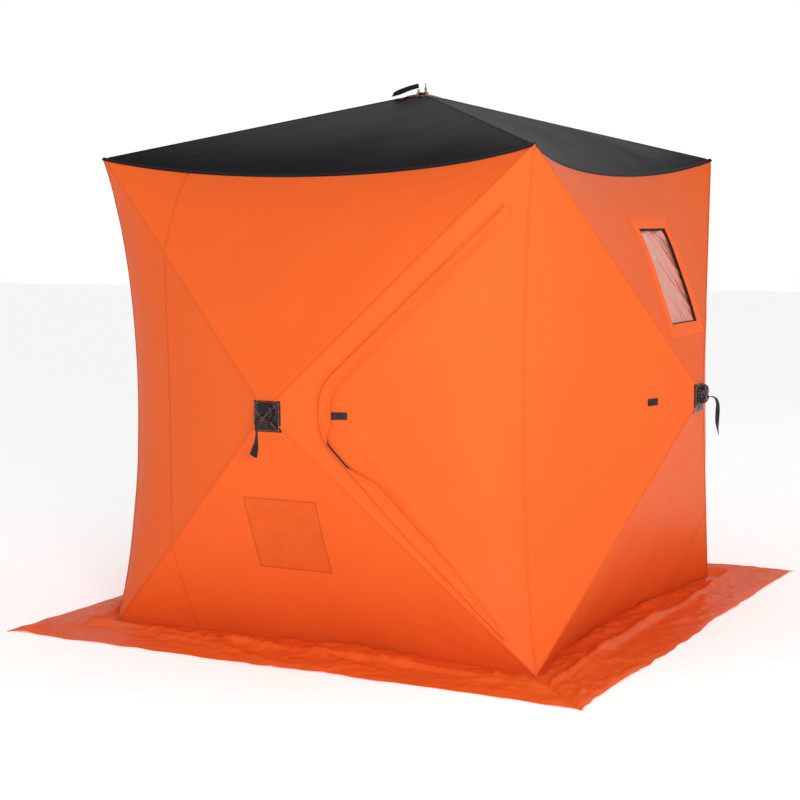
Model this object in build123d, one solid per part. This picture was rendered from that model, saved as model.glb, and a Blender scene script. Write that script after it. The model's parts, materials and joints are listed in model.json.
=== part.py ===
from build123d import *
import math
import os

# ---------------------------------------------------------------- overall sizes
cabin_width = 1800.0  # corner to corner along every wall
eave_height = 1800.0
hub_height = 900.0  # wall hubs sit half way up, so all wall poles have one length
wall_reach = 280.0  # a popped-out wall hub stands this far beyond its four corners
roof_reach = 260.0
skirt_width = 300.0

# ---------------------------------------------------------------- fabric
skin = 2.0  # cloth with its seam allowance
seam_gap = 3.0  # each wall stops this short of the line where two walls meet
corner_bow = 75.0  # tension draws each seam in from the straight line between its corners
eave_bow = 65.0
ground_bow = 80.0
edge_facets = 6
apex_hole_radius = 9.0
skirt_thickness = 2.4
cutter_depth = 900.0  # cutting blocks reach through the most deeply bowed cloth

# ---------------------------------------------------------------- poles
rod_radius = 5.0
ferrule_radius = 7.0
ferrule_start = 12.0  # from the pin's centre
ferrule_end = 62.0
socket_floor = 22.0
tip_radius = 6.5
tip_length = 26.0
tip_floor = 5.0
lug_thickness = 8.0
lug_radius = 8.0
tongue_height = 11.2  # between the ferrule's eye and its sleeve
glue_fit = 0.05
pin_radius = 3.0
pin_fit = 0.05

# ---------------------------------------------------------------- hubs
pin_circle = 38.0  # distance of each pole's pin from the hub's axis
hub_drop = 30.0  # from the cloth's peak down to the pins
cheek_thickness = 5.0
cheek_gap = 0.5
slot_relief = 1.5
hub_half_height = 8.0
hub_core_radius = 21.0
stem_radius = 6.0
pin_head = 1.5
plate_lift = 1.5
plate_thickness = 3.0
plate_radius = 26.0

# ---------------------------------------------------------------- corner pockets
tip_inset = 14.0  # pole tips stay this far inside the plane of the wall's corners
pocket_setback = 55.0  # from the corner to the pocket's closed end
pocket_depth = 60.0
pocket_wall = 1.5
pocket_clearance = 1.0
tip_end_clearance = 2.0

# ---------------------------------------------------------------- pull straps and ring
strap_width = 25.0
strap_thickness = 3.0
strap_offset = 16.0  # strap pin, off the hub's axis
strap_pin_height = 8.5  # above the plate's upper face
strap_pin_radius = 3.0
strap_eye_clearance = 0.3
strap_lug = 3.0
strap_lug_margin = 1.5  # lug around its pin
strap_side_clearance = 1.0
strap_bend_radius = 9.0
strap_stand_off = 56.0  # how far the tail hangs in front of the cloth's peak
strap_drop = 128.0
ring_radius = 9.5
ring_wire_radius = 1.8
ring_eye_height = 16.0  # above the plate's upper face
ring_eye_offset = 12.0  # off the hub's axis, away from the strap, so that ring and strap swing clear
ring_eye_radius = 5.0
ring_eye_thickness = 3.0
ring_eye_clearance = 0.7

# ---------------------------------------------------------------- door (in the front wall's right triangle)
panel_trim = 1.5  # a panel that moves apart from its neighbours stops this short of their shared ridge
door_ridge_offset = 98.0  # zip line below the pole ridge, measured straight down
door_nose = 183.0  # the zip's rounded turn, from the hub's axis
door_nose_radius = 90.0
door_hinge_inset = 110.0  # fold line, from the wall's corner line
door_hinge_lift = 16.0  # fold line, outside the plane of the wall's corners
door_hinge_gap = 3.0
zip_width = 8.0
zip_gap = 1.0
zip_thickness = 3.0
zip_end = 12.0  # the zip stops this far short of the fold line
slider_length = 34.0
slider_width = 12.0
slider_height = 6.0
slider_lift = 2.0
slider_margin = 95.0  # each slider's run stops this far from the turn and from the fold line
pull_width = 3.0
pull_height = 5.0
pull_sunk = 1.0
tab_length = 52.0
tab_width = 25.0
door_tab_inset = 37.0  # from the leaf's rounded end
door_tab_drop = 11.0  # below the hub
wall_tab_place = 295.0  # from the right wall's hub, towards the front
wall_tab_drop = 7.0

# ---------------------------------------------------------------- window (in the right wall's upper triangle)
window_width = 270.0
window_height = 355.0
window_centre = 22.0
window_sill = 262.0  # above the hub
window_border_width = 45.0
border_thickness = 1.2
film_thickness = 1.0
film_margin = 22.0
film_gap = 1.5

# ---------------------------------------------------------------- storage pocket (inside the front wall)
store_width = 310.0
store_height = 280.0
store_centre = -17.0
store_top = 320.0  # below the hub
store_gap = 1.0

half = cabin_width / 2
upper = eave_height - hub_height


def wall_plane(x_dir, z_dir):
    """Frame of one wall: origin level with its hub in the plane of its corners, z outward."""
    out = Vector(*z_dir)
    return Plane(origin=(out.X * half, out.Y * half, hub_height), x_dir=x_dir, z_dir=z_dir)


def bowed_edge(start, end, inward, bow, depth):
    """Points from one corner to the next, drawn inward and behind the corner plane by tension."""
    points = []
    for i in range(edge_facets):
        t = i / edge_facets
        sag = 4 * t * (1 - t)
        x = start[0] + (end[0] - start[0]) * t + inward[0] * bow * sag
        y = start[1] + (end[1] - start[1]) * t + inward[1] * bow * sag
        points.append((x, y, -depth * sag))
    return points


class Side:
    """One of the five pole-framed sides: its frame, its corners and its seams."""

    def __init__(self, name, plane, reach, top, bottom, top_bow, bottom_bow, side_bow, bottom_depth):
        self.name = name
        self.plane = plane
        self.reach = reach
        self.corners = [(half, top), (-half, top), (-half, -bottom), (half, -bottom)]
        inner = half - seam_gap
        high = top - seam_gap
        low = -(bottom - seam_gap)
        self.edges = {
            "top": bowed_edge((inner, high), (-inner, high), (0, -1), top_bow, top_bow),
            "left": bowed_edge((-inner, high), (-inner, low), (1, 0), side_bow, side_bow),
            "bottom": bowed_edge((-inner, low), (inner, low), (0, 1), bottom_bow, bottom_depth),
            "right": bowed_edge((inner, low), (inner, high), (-1, 0), side_bow, side_bow),
        }
        self.pin_height = reach - hub_drop
        self.travel = 2 * (self.pin_height + tip_inset)

    def place(self, shape):
        return self.plane.location * shape

    def run(self, first, count):
        """Seam points of several edges in order, with the closing corner."""
        order = ["top", "left", "bottom", "right"]
        points = []
        for i in range(count):
            points += self.edges[order[(first + i) % 4]]
        points.append(self.edges[order[(first + count) % 4]][0])
        return points


def flat_face(points):
    return Face(Wire([Line(a, b) for a, b in zip(points, points[1:] + points[:1])]))


def skin_solid(apex, seam, closed, thickness=skin, lift=0.0):
    """Cloth stretched from a peak to its seam: flat facets, one thickness measured along z."""
    top = [(x, y, z + lift) for x, y, z in seam]
    low = [(x, y, z + lift - thickness) for x, y, z in seam]
    peak = (apex[0], apex[1], apex[2] + lift)
    foot = (apex[0], apex[1], apex[2] + lift - thickness)
    faces = []
    for i in range(len(seam) - 1):
        faces.append(flat_face([peak, top[i], top[i + 1]]))
        faces.append(flat_face([foot, low[i + 1], low[i]]))
        faces.append(flat_face([top[i], low[i], low[i + 1], top[i + 1]]))
    if not closed:
        faces.append(flat_face([peak, foot, low[0], top[0]]))
        faces.append(flat_face([foot, peak, top[-1], low[-1]]))
    return Solid(Shell(faces))


def apex_hole(side):
    return Pos(0, 0, side.reach) * Cylinder(apex_hole_radius, 2 * hub_drop)


def prism(outline):
    """A tall block over an outline in the wall's own plane, to cut cloth with."""
    return Pos(0, 0, -cutter_depth / 2) * extrude(outline, cutter_depth)


def rectangle(x, y, width, height):
    return Pos(x, y) * Rectangle(width, height)


def pole_length(side, corner):
    """Pin to tip end, and the pole's slope. Lying flat, the tip would just clear the pocket's end."""
    length = math.hypot(*corner) - pin_circle - pocket_setback - tip_end_clearance
    rise = side.pin_height + tip_inset
    return length, math.asin(rise / length)


def corner_angle(corner):
    return math.degrees(math.atan2(corner[1], corner[0]))


def pole(side, corner):
    """Fibreglass rod with its pinned ferrule and its tip, in place between hub and corner."""
    length, slope = pole_length(side, corner)
    turn = Rot(0, 90, 0)
    eye = Rot(90, 0, 0) * Cylinder(lug_radius, lug_thickness)
    tongue = Pos(ferrule_start / 2, 0, 0) * Box(ferrule_start, lug_thickness, tongue_height)
    sleeve = Pos(ferrule_start, 0, 0) * turn * Cylinder(
        ferrule_radius, ferrule_end - ferrule_start, align=(Align.CENTER, Align.CENTER, Align.MIN)
    )
    socket = Pos(socket_floor, 0, 0) * turn * Cylinder(
        rod_radius + glue_fit, ferrule_end, align=(Align.CENTER, Align.CENTER, Align.MIN)
    )
    bore = Rot(90, 0, 0) * Cylinder(pin_radius + pin_fit, 2 * lug_thickness)
    ferrule = eye + tongue + sleeve - socket - bore
    rod_length = length - tip_floor - socket_floor
    rod = Pos(socket_floor, 0, 0) * turn * Cylinder(
        rod_radius, rod_length, align=(Align.CENTER, Align.CENTER, Align.MIN)
    )
    tip = Pos(length - tip_length, 0, 0) * turn * Cylinder(
        tip_radius, tip_length, align=(Align.CENTER, Align.CENTER, Align.MIN)
    )
    tip = fillet(tip.edges().sort_by(Axis.X)[-1], tip_radius / 2)
    tip -= Pos(length - tip_floor - tip_length, 0, 0) * turn * Cylinder(
        rod_radius + glue_fit, tip_length, align=(Align.CENTER, Align.CENTER, Align.MIN)
    )
    whole = Compound([ferrule.solid(), rod.solid(), tip.solid()])
    lean = Rot(0, math.degrees(slope), 0)
    return Rot(0, 0, corner_angle(corner)) * Pos(pin_circle, 0, side.pin_height) * lean * whole


def pocket(side, corner):
    """Webbing cup for a pole tip, long enough for the tip's push as the side goes through flat."""
    length, slope = pole_length(side, corner)
    push = length * (1 - math.cos(slope)) + tip_end_clearance
    engaged = pocket_depth - push
    bore = tip_radius + engaged * math.tan(slope) + pocket_clearance
    end = math.hypot(*corner) - pocket_setback
    cup = Cylinder(bore + pocket_wall, pocket_depth + pocket_wall) - Pos(0, 0, -pocket_wall) * Cylinder(
        bore, pocket_depth + pocket_wall
    )
    middle = end - (pocket_depth - pocket_wall) / 2
    return Rot(0, 0, corner_angle(corner)) * Pos(middle, 0, -tip_inset) * Rot(0, 90, 0) * cup


def hub(side):
    """Four-armed hub: each arm is a fork for one pole's lug, and a stem goes out through the cloth."""
    arm_width = lug_thickness + 2 * (cheek_gap + cheek_thickness)
    body = Cylinder(hub_core_radius, 2 * hub_half_height)
    for corner in side.corners:
        turn = Rot(0, 0, corner_angle(corner))
        arm = Pos(pin_circle / 2, 0, 0) * Box(pin_circle, arm_width, 2 * hub_half_height)
        arm += Pos(pin_circle, 0, 0) * Rot(90, 0, 0) * Cylinder(hub_half_height, arm_width)
        body += turn * arm
    for corner in side.corners:
        turn = Rot(0, 0, corner_angle(corner))
        slot_start = pin_circle - lug_radius - slot_relief
        slot_width = lug_thickness + 2 * cheek_gap
        slot = Pos(slot_start + pin_circle / 2, 0, 0) * Box(pin_circle, slot_width, 4 * hub_half_height)
        body -= turn * slot
        body -= turn * Pos(pin_circle, 0, 0) * Rot(90, 0, 0) * Cylinder(pin_radius + pin_fit, 2 * arm_width)
    stem_length = side.reach + plate_lift - side.pin_height
    body += Cylinder(stem_radius, stem_length, align=(Align.CENTER, Align.CENTER, Align.MIN))
    return Pos(0, 0, side.pin_height) * body


def hub_pins(side):
    arm_width = lug_thickness + 2 * (cheek_gap + cheek_thickness)
    pins = []
    for corner in side.corners:
        pin = Cylinder(pin_radius, arm_width + 2 * pin_head)
        turn = Rot(0, 0, corner_angle(corner))
        pins.append((turn * Pos(pin_circle, 0, side.pin_height) * Rot(90, 0, 0) * pin).solid())
    return Compound(pins)


def plate_top(side):
    return side.reach + plate_lift + plate_thickness


def hub_plate(side, strap_turn, ring_eye):
    """Outer plate on the stem's end, with the strap's pin between two lugs."""
    plate = Pos(0, 0, side.reach + plate_lift + plate_thickness / 2) * Cylinder(plate_radius, plate_thickness)
    gap = strap_width / 2 + strap_side_clearance
    height = strap_pin_height + strap_pin_radius + strap_lug_margin
    for way in (-1, 1):
        lug = Pos(way * (gap + strap_lug / 2), -strap_offset, plate_top(side) + height / 2) * Box(
            strap_lug, 2 * (strap_pin_radius + strap_lug_margin), height
        )
        plate += lug
    bar = Pos(0, -strap_offset, plate_top(side) + strap_pin_height) * Rot(0, 90, 0) * Cylinder(
        strap_pin_radius, 2 * gap + strap_lug
    )
    plate += bar
    if ring_eye:
        height = ring_eye_height
        eye = Pos(0, 0, height / 2) * Box(ring_eye_thickness, 2 * ring_eye_radius, height)
        eye += Pos(0, 0, height) * Rot(0, 90, 0) * Cylinder(ring_eye_radius, ring_eye_thickness)
        eye -= Pos(0, 0, height) * Rot(0, 90, 0) * Cylinder(
            ring_wire_radius + ring_eye_clearance, 2 * ring_eye_thickness
        )
        plate += Pos(0, ring_eye_offset, plate_top(side)) * eye
    return Rot(0, 0, strap_turn) * plate


def strap(side, strap_turn, route):
    """Webbing tail with a sewn eye on the plate's pin; the route is in y (down) and z (out)."""
    pin_z = plate_top(side) + strap_pin_height
    eye_bore = strap_pin_radius + strap_eye_clearance
    eye_radius = eye_bore + strap_thickness
    path = [(-strap_offset + y, pin_z + z) for y, z in route]
    tail = trace(FilletPolyline(*path, radius=strap_bend_radius), strap_thickness)
    section = tail + Pos(-strap_offset, pin_z) * Circle(eye_radius)
    section -= Pos(-strap_offset, pin_z) * Circle(eye_bore)
    profile = Plane(origin=(-strap_width / 2, 0, 0), x_dir=(0, 1, 0), z_dir=(1, 0, 0))
    return Rot(0, 0, strap_turn) * extrude(profile * section, strap_width)


def roof_ring(side, strap_turn):
    height = plate_top(side) + ring_eye_height + ring_radius
    ring = Torus(ring_radius, ring_wire_radius)
    return Rot(0, 0, strap_turn) * Pos(0, ring_eye_offset, height) * Rot(90, 0, 0) * ring


# ---------------------------------------------------------------- door outline, in the front wall's frame
def door_outline(inset, hinge_inset):
    """Triangle beside the corner with a rounded nose: the zip's line, or a line inside it."""
    side_x = half - door_hinge_inset - hinge_inset
    offset = door_ridge_offset + inset * math.sqrt(2)
    slope_up = upper / half
    slope_down = hub_height / half
    nose = door_nose + inset
    # the two straight runs meet short of the nose, and an arc rounds them there
    up_y = side_x * slope_up - offset
    down_y = -(side_x * slope_down - offset)
    meet_up = nose * slope_up - offset
    meet_down = -(nose * slope_down - offset)
    points = [(side_x, up_y), (nose, meet_up), (nose, meet_down), (side_x, down_y)]
    outline = make_face(Polyline(*points, close=True))
    nose_corners = outline.vertices().sort_by(Axis.X)[:2]
    return fillet(nose_corners, door_nose_radius - inset)


def right_panel(side):
    """The triangle between two pole ridges and the right-hand seam, free of its neighbours."""
    seam = side.run(3, 1)
    seam[0] = (seam[0][0], seam[0][1] + panel_trim, seam[0][2])
    seam[-1] = (seam[-1][0], seam[-1][1] - panel_trim, seam[-1][2])
    apex = (panel_trim, 0, side.reach - panel_trim * side.reach / half)
    return apex, seam


def top_panel(side):
    seam = side.run(0, 1)
    seam[0] = (seam[0][0] - panel_trim, seam[0][1], seam[0][2])
    seam[-1] = (seam[-1][0] + panel_trim, seam[-1][1], seam[-1][2])
    apex = (0, panel_trim, side.reach - panel_trim * side.reach / upper)
    return apex, seam


def skin_height(apex, seam, x, y):
    """Outer height of the cloth's facets above one point of the wall's plane."""
    for a, b in zip(seam, seam[1:]):
        ax, ay = a[0] - apex[0], a[1] - apex[1]
        bx, by = b[0] - apex[0], b[1] - apex[1]
        px, py = x - apex[0], y - apex[1]
        area = ax * by - ay * bx
        u = (px * by - py * bx) / area
        v = (ax * py - ay * px) / area
        if u >= -1e-9 and v >= -1e-9:
            return apex[2] + u * (a[2] - apex[2]) + v * (b[2] - apex[2])
    return apex[2]


def slider_run(up):
    """First and last point of a zip slider's straight run, on the cloth's outer face."""
    slope = (upper if up else -hub_height) / half
    middle = door_ridge_offset + zip_width / 2 * math.sqrt(2)
    apex, seam = right_panel(FRONT)
    points = []
    for x in (door_nose + slider_margin, half - door_hinge_inset - slider_margin):
        y = x * slope - math.copysign(middle, slope)
        points.append(Vector(x, y, skin_height(apex, seam, x, y)))
    return points


def slider(up):
    """Zip slider with its pull, at the start of its run."""
    first, last = slider_run(up)
    along = (last - first).normalized()
    out = Vector(0, 0, 1)
    out = (out - along * out.dot(along)).normalized()
    seat = Plane(origin=first + out * (slider_lift + zip_thickness / 2), x_dir=along, z_dir=out)
    body = Pos(0, 0, slider_height / 2) * Box(slider_length, slider_width, slider_height)
    body = fillet(body.edges().filter_by(Axis.Z), slider_width / 3)
    pull_middle = slider_height - pull_sunk + pull_height / 2
    body += Pos(0, 0, pull_middle) * Box(slider_length / 3, pull_width, pull_height)
    return seat.location * body


def wall(name, x_dir, z_dir):
    """One of the four walls: level ground seam, and a bowed seam along each other edge."""
    plane = wall_plane(x_dir, z_dir)
    return Side(name, plane, wall_reach, upper, hub_height, eave_bow, 0.0, corner_bow, ground_bow)


FRONT = wall("front", (1, 0, 0), (0, -1, 0))
RIGHT = wall("right", (0, 1, 0), (1, 0, 0))
BACK = wall("back", (-1, 0, 0), (0, 1, 0))
LEFT = wall("left", (0, -1, 0), (-1, 0, 0))
ROOF = Side("roof", Plane(origin=(0, 0, eave_height), x_dir=(1, 0, 0), z_dir=(0, 0, 1)), roof_reach,
            half, half, eave_bow, eave_bow, eave_bow, eave_bow)
SIDES = [FRONT, RIGHT, BACK, LEFT, ROOF]

pieces = {}

# ---------------------------------------------------------------- hubs, poles and corner pockets
pole_names = ["upper_right", "upper_left", "lower_left", "lower_right"]
roof_pole_names = ["back_right", "back_left", "front_left", "front_right"]
tail_out = strap_stand_off - plate_lift - plate_thickness - strap_pin_height
tail_end = strap_offset - strap_drop
hanging_route = [(0, strap_thickness), (7, 26), (-14, tail_out), (tail_end, tail_out)]
lying_route = [(0, strap_thickness), (-14, 11), (-60, 9), (tail_end, 1)]
roof_strap_turn = -62.0

for side in SIDES:
    on_roof = side is ROOF
    turn = roof_strap_turn if on_roof else 0.0
    names = roof_pole_names if on_roof else pole_names
    pieces[f"{side.name}_hub"] = side.place(hub(side))
    pieces[f"{side.name}_hub_pins"] = side.place(hub_pins(side))
    pieces[f"{side.name}_hub_plate"] = side.place(hub_plate(side, turn, on_roof))
    pieces[f"{side.name}_pull_strap"] = side.place(strap(side, turn, lying_route if on_roof else hanging_route))
    for name, corner in zip(names, side.corners):
        pieces[f"{side.name}_pole_{name}"] = side.place(pole(side, corner))
pieces["roof_ring"] = ROOF.place(roof_ring(ROOF, roof_strap_turn))

high_pockets = []
low_pockets = []
for side in SIDES:
    for corner in side.corners:
        cup = side.place(pocket(side, corner)).solid()
        low = corner[1] < 0 and side is not ROOF
        (low_pockets if low else high_pockets).append(cup)
pieces["upper_pole_pockets"] = Compound(high_pockets)
pieces["lower_pole_pockets"] = Compound(low_pockets)

# ---------------------------------------------------------------- whole cloth sides
for side, name in ((BACK, "back_wall"), (LEFT, "left_wall"), (ROOF, "roof_cloth")):
    cloth = skin_solid((0, 0, side.reach), side.run(0, 4), True)
    pieces[name] = side.place(cloth - apex_hole(side))

# ---------------------------------------------------------------- front wall, door and zip
front_cloth = skin_solid((0, 0, FRONT.reach), FRONT.run(0, 3), False)
pieces["front_wall"] = FRONT.place(front_cloth - apex_hole(FRONT))

door_apex, door_seam = right_panel(FRONT)
door_triangle = skin_solid(door_apex, door_seam, False)
opening = prism(door_outline(0.0, 0.0))
leaf = prism(door_outline(zip_width, door_hinge_gap))
pieces["front_wall_door_side"] = FRONT.place(door_triangle - apex_hole(FRONT) - opening)
door_leaf = door_triangle & leaf
pieces["door_panel"] = FRONT.place(door_leaf)

zip_layer = skin_solid(door_apex, door_seam, False, zip_thickness, (zip_thickness - skin) / 2)
zip_outer = prism(door_outline(zip_gap, door_hinge_gap))
zip_inner = prism(door_outline(zip_width - zip_gap, door_hinge_gap - zip_gap))
hinge_middle = half - door_hinge_inset - zip_end + half / 2
hinge_cut = prism(rectangle(hinge_middle, 0, half, 4 * eave_height))
pieces["door_zip"] = FRONT.place((zip_layer & zip_outer) - zip_inner - hinge_cut)
pieces["zip_slider_upper"] = FRONT.place(slider(True))
pieces["zip_slider_lower"] = FRONT.place(slider(False))

door_tab_middle = door_nose + zip_width + door_tab_inset + tab_length / 2
door_tab_layer = skin_solid(door_apex, door_seam, False, skin, skin)
door_tab = prism(rectangle(door_tab_middle, -door_tab_drop, tab_length, tab_width))
pieces["door_tab"] = FRONT.place(door_tab_layer & door_tab)

store_layer = skin_solid((0, 0, FRONT.reach), FRONT.run(2, 1), False, skin, -skin - store_gap)
store = prism(rectangle(store_centre, -store_top - store_height / 2, store_width, store_height))
pieces["inner_pocket"] = FRONT.place(store_layer & store)

# ---------------------------------------------------------------- right wall, window and its film
right_cloth = skin_solid((0, 0, RIGHT.reach), RIGHT.run(1, 3), False)
pieces["right_wall"] = RIGHT.place(right_cloth - apex_hole(RIGHT))

window_apex, window_seam = top_panel(RIGHT)
window_triangle = skin_solid(window_apex, window_seam, False)
window_middle = window_sill + window_height / 2
window_hole = prism(rectangle(window_centre, window_middle, window_width, window_height))
pieces["right_wall_window_side"] = RIGHT.place(window_triangle - apex_hole(RIGHT) - window_hole)

border_width = window_width + 2 * window_border_width
border_height = window_height + 2 * window_border_width
border_layer = skin_solid(window_apex, window_seam, False, border_thickness, border_thickness)
border = border_layer & prism(rectangle(window_centre, window_middle, border_width, border_height))
pieces["window_border"] = RIGHT.place(border - window_hole)

film_layer = skin_solid(window_apex, window_seam, False, film_thickness, -skin - film_gap)
film_width = window_width + 2 * film_margin
film_height = window_height + 2 * film_margin
film = film_layer & prism(rectangle(window_centre, window_middle, film_width, film_height))
pieces["window_film"] = RIGHT.place(film)

wall_tab_layer = skin_solid((0, 0, RIGHT.reach), RIGHT.run(1, 1), False, skin, skin)
wall_tab = prism(rectangle(-wall_tab_place, -wall_tab_drop, tab_length, tab_width))
pieces["wall_tab"] = RIGHT.place(wall_tab_layer & wall_tab)

# ---------------------------------------------------------------- ground skirt: four mitred strips
strips = []
outer = half + skirt_width
for quarter in range(4):
    seam = [(x, -half - z) for x, y, z in FRONT.edges["bottom"]] + [(half - seam_gap, -half)]
    outline = Polyline(*seam, (outer, -outer), (-outer, -outer), close=True)
    strip = extrude(make_face(outline), skirt_thickness)
    strips.append((Rot(0, 0, 90 * quarter) * strip).solid())
pieces["skirt"] = Compound(strips)

os.makedirs("parts", exist_ok=True)
for name, shape in pieces.items():
    solids = shape.solids()
    export_step(solids[0] if len(solids) == 1 else Compound(list(solids)), f"parts/{name}.step")
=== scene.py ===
import json
import logging
import math
from dataclasses import dataclass, field
from enum import Enum

import bmesh
import bpy
import numpy as np
from mathutils import Matrix, Vector
from mathutils.bvhtree import BVHTree


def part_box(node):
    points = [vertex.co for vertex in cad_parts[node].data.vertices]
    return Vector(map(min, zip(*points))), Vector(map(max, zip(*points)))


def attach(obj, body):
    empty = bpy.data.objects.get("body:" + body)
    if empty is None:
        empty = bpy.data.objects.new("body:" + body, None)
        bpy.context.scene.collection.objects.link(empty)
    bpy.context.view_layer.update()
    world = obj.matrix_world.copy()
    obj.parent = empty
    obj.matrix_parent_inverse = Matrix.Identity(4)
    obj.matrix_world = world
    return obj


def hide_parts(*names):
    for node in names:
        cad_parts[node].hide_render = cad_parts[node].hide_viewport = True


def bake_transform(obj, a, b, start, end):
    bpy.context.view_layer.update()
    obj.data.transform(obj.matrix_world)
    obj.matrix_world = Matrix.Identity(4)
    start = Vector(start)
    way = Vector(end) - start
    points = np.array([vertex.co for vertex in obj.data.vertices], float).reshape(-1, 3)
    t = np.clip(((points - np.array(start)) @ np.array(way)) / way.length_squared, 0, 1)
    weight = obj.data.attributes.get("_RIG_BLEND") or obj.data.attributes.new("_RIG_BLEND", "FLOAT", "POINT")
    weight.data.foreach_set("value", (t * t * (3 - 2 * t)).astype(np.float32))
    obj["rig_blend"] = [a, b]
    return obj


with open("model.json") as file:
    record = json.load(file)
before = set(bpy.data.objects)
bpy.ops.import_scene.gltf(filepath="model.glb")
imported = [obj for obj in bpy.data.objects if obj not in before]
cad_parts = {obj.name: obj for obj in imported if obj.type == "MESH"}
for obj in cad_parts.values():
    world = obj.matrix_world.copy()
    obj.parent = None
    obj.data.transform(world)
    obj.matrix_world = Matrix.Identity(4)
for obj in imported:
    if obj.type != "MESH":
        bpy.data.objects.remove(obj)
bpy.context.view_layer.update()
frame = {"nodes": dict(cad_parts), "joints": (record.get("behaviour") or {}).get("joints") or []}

log = logging.getLogger("shelter")

SEAM_ALLOWANCE = 0.003
PLATE_LIFT = 0.0015
CLOTH_THICKNESS = 0.0012
PANEL_CELLS = 40


# --------------------------------------------------------------------------- sides of the shelter
class Side(Enum):
    """The five pole-framed sides."""

    FRONT = "front"
    RIGHT = "right"
    BACK = "back"
    LEFT = "left"
    ROOF = "roof"


class Bay(Enum):
    """The four cloth triangles of a side, each named by the seam it runs out to."""

    TOP = "top"
    LEFT = "left"
    BOTTOM = "bottom"
    RIGHT = "right"


@dataclass(frozen=True)
class ShelterSizes:
    """Overall sizes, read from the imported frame, in metres."""

    half: float
    eave: float
    hub_height: float
    wall_reach: float
    roof_reach: float
    skirt_outer: float
    ground_bow: float = 0.085
    seam_stiffness: float = 2.6
    seam_tape_pull: float = 2.0

    @classmethod
    def from_frame(cls) -> "ShelterSizes":
        """Works the sizes out from the boxes of the CAD nodes."""
        wall_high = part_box("front_wall")[1]
        plate_low, plate_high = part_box("front_hub_plate")
        roof_plate_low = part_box("roof_hub_plate")[0]
        half = wall_high.x + SEAM_ALLOWANCE
        eave = wall_high.z + SEAM_ALLOWANCE
        return cls(
            half=half,
            eave=eave,
            hub_height=(plate_low.z + plate_high.z) / 2,
            wall_reach=-plate_high.y - half - PLATE_LIFT,
            roof_reach=roof_plate_low.z - eave - PLATE_LIFT,
            skirt_outer=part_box("skirt")[1].x,
        )


@dataclass(frozen=True)
class SideFrame:
    """A side's own frame: across and up in the plane of its corners, and out of the shelter."""

    side: Side
    origin: np.ndarray
    across: np.ndarray
    up: np.ndarray
    out: np.ndarray
    reach: float

    def world(self, local: np.ndarray) -> np.ndarray:
        """Turns points of this frame into points of the shelter.

        Args:
            local: N by 3 points across, up and out.

        Returns:
            N by 3 points in metres.
        """
        return self.origin + local @ np.array([self.across, self.up, self.out])

    @property
    def hub_body(self) -> str:
        """Name of the body that carries this side's hub."""
        return f"{self.side.value}_hub_body"

    @property
    def travel(self) -> float:
        """How far the hub is pushed in, in metres."""
        name = f"{self.side.value}_hub_pop"
        joint = next(j for j in frame["joints"] if j["name"] == name)
        return -joint["range_m"][0]


def side_frames(sizes: ShelterSizes) -> dict[Side, SideFrame]:
    """Frames of the four walls and the roof.

    Args:
        sizes: the shelter's sizes.

    Returns:
        One frame for each side.
    """
    frames = {}
    outward = {Side.FRONT: (0, -1, 0), Side.RIGHT: (1, 0, 0), Side.BACK: (0, 1, 0), Side.LEFT: (-1, 0, 0)}
    up = np.array([0.0, 0.0, 1.0])
    for side, out in outward.items():
        out = np.array(out, float)
        origin = out * sizes.half + up * sizes.hub_height
        frames[side] = SideFrame(side, origin, np.cross(up, out), up, out, sizes.wall_reach)
    frames[Side.ROOF] = SideFrame(
        Side.ROOF, up * sizes.eave, np.array([1.0, 0, 0]), np.array([0, 1.0, 0]), up, sizes.roof_reach
    )
    return frames


# --------------------------------------------------------------------------- smooth noise
@dataclass
class SmoothNoise:
    """Repeatable value noise from 0 to 1 over a plane."""

    seed: int
    size: int = 64
    lattice: np.ndarray = field(init=False)

    def __post_init__(self) -> None:
        self.lattice = np.random.default_rng(self.seed).random((self.size, self.size))

    def at(self, x: np.ndarray, y: np.ndarray) -> np.ndarray:
        """Noise at points, in cells of the lattice.

        Args:
            x: first coordinates.
            y: second coordinates.

        Returns:
            Values from 0 to 1.
        """
        xi, yi = np.floor(x).astype(int), np.floor(y).astype(int)
        fx, fy = x - xi, y - yi
        fx, fy = fx * fx * (3 - 2 * fx), fy * fy * (3 - 2 * fy)
        a = self.lattice[xi % self.size, yi % self.size]
        b = self.lattice[(xi + 1) % self.size, yi % self.size]
        c = self.lattice[xi % self.size, (yi + 1) % self.size]
        d = self.lattice[(xi + 1) % self.size, (yi + 1) % self.size]
        return (a * (1 - fx) + b * fx) * (1 - fy) + (c * (1 - fx) + d * fx) * fy

    def ridged(self, x: np.ndarray, y: np.ndarray, octaves: int = 3) -> np.ndarray:
        """Sharp-crested noise, as creases in a stiff cloth.

        Args:
            x: first coordinates.
            y: second coordinates.
            octaves: how many scales are added.

        Returns:
            Values from 0 to about 1, with narrow crests.
        """
        total, share = np.zeros_like(x, float), 0.6
        for k in range(octaves):
            crest = 1 - np.abs(2 * self.at(x * 2**k + 7.3 * k, y * 2**k + 3.1 * k) - 1)
            total += share * crest**3
            share *= 0.5
        return total


def smoothstep(value: np.ndarray) -> np.ndarray:
    """Rises smoothly from 0 to 1 as the value does."""
    t = np.clip(value, 0, 1)
    return t * t * (3 - 2 * t)


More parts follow.
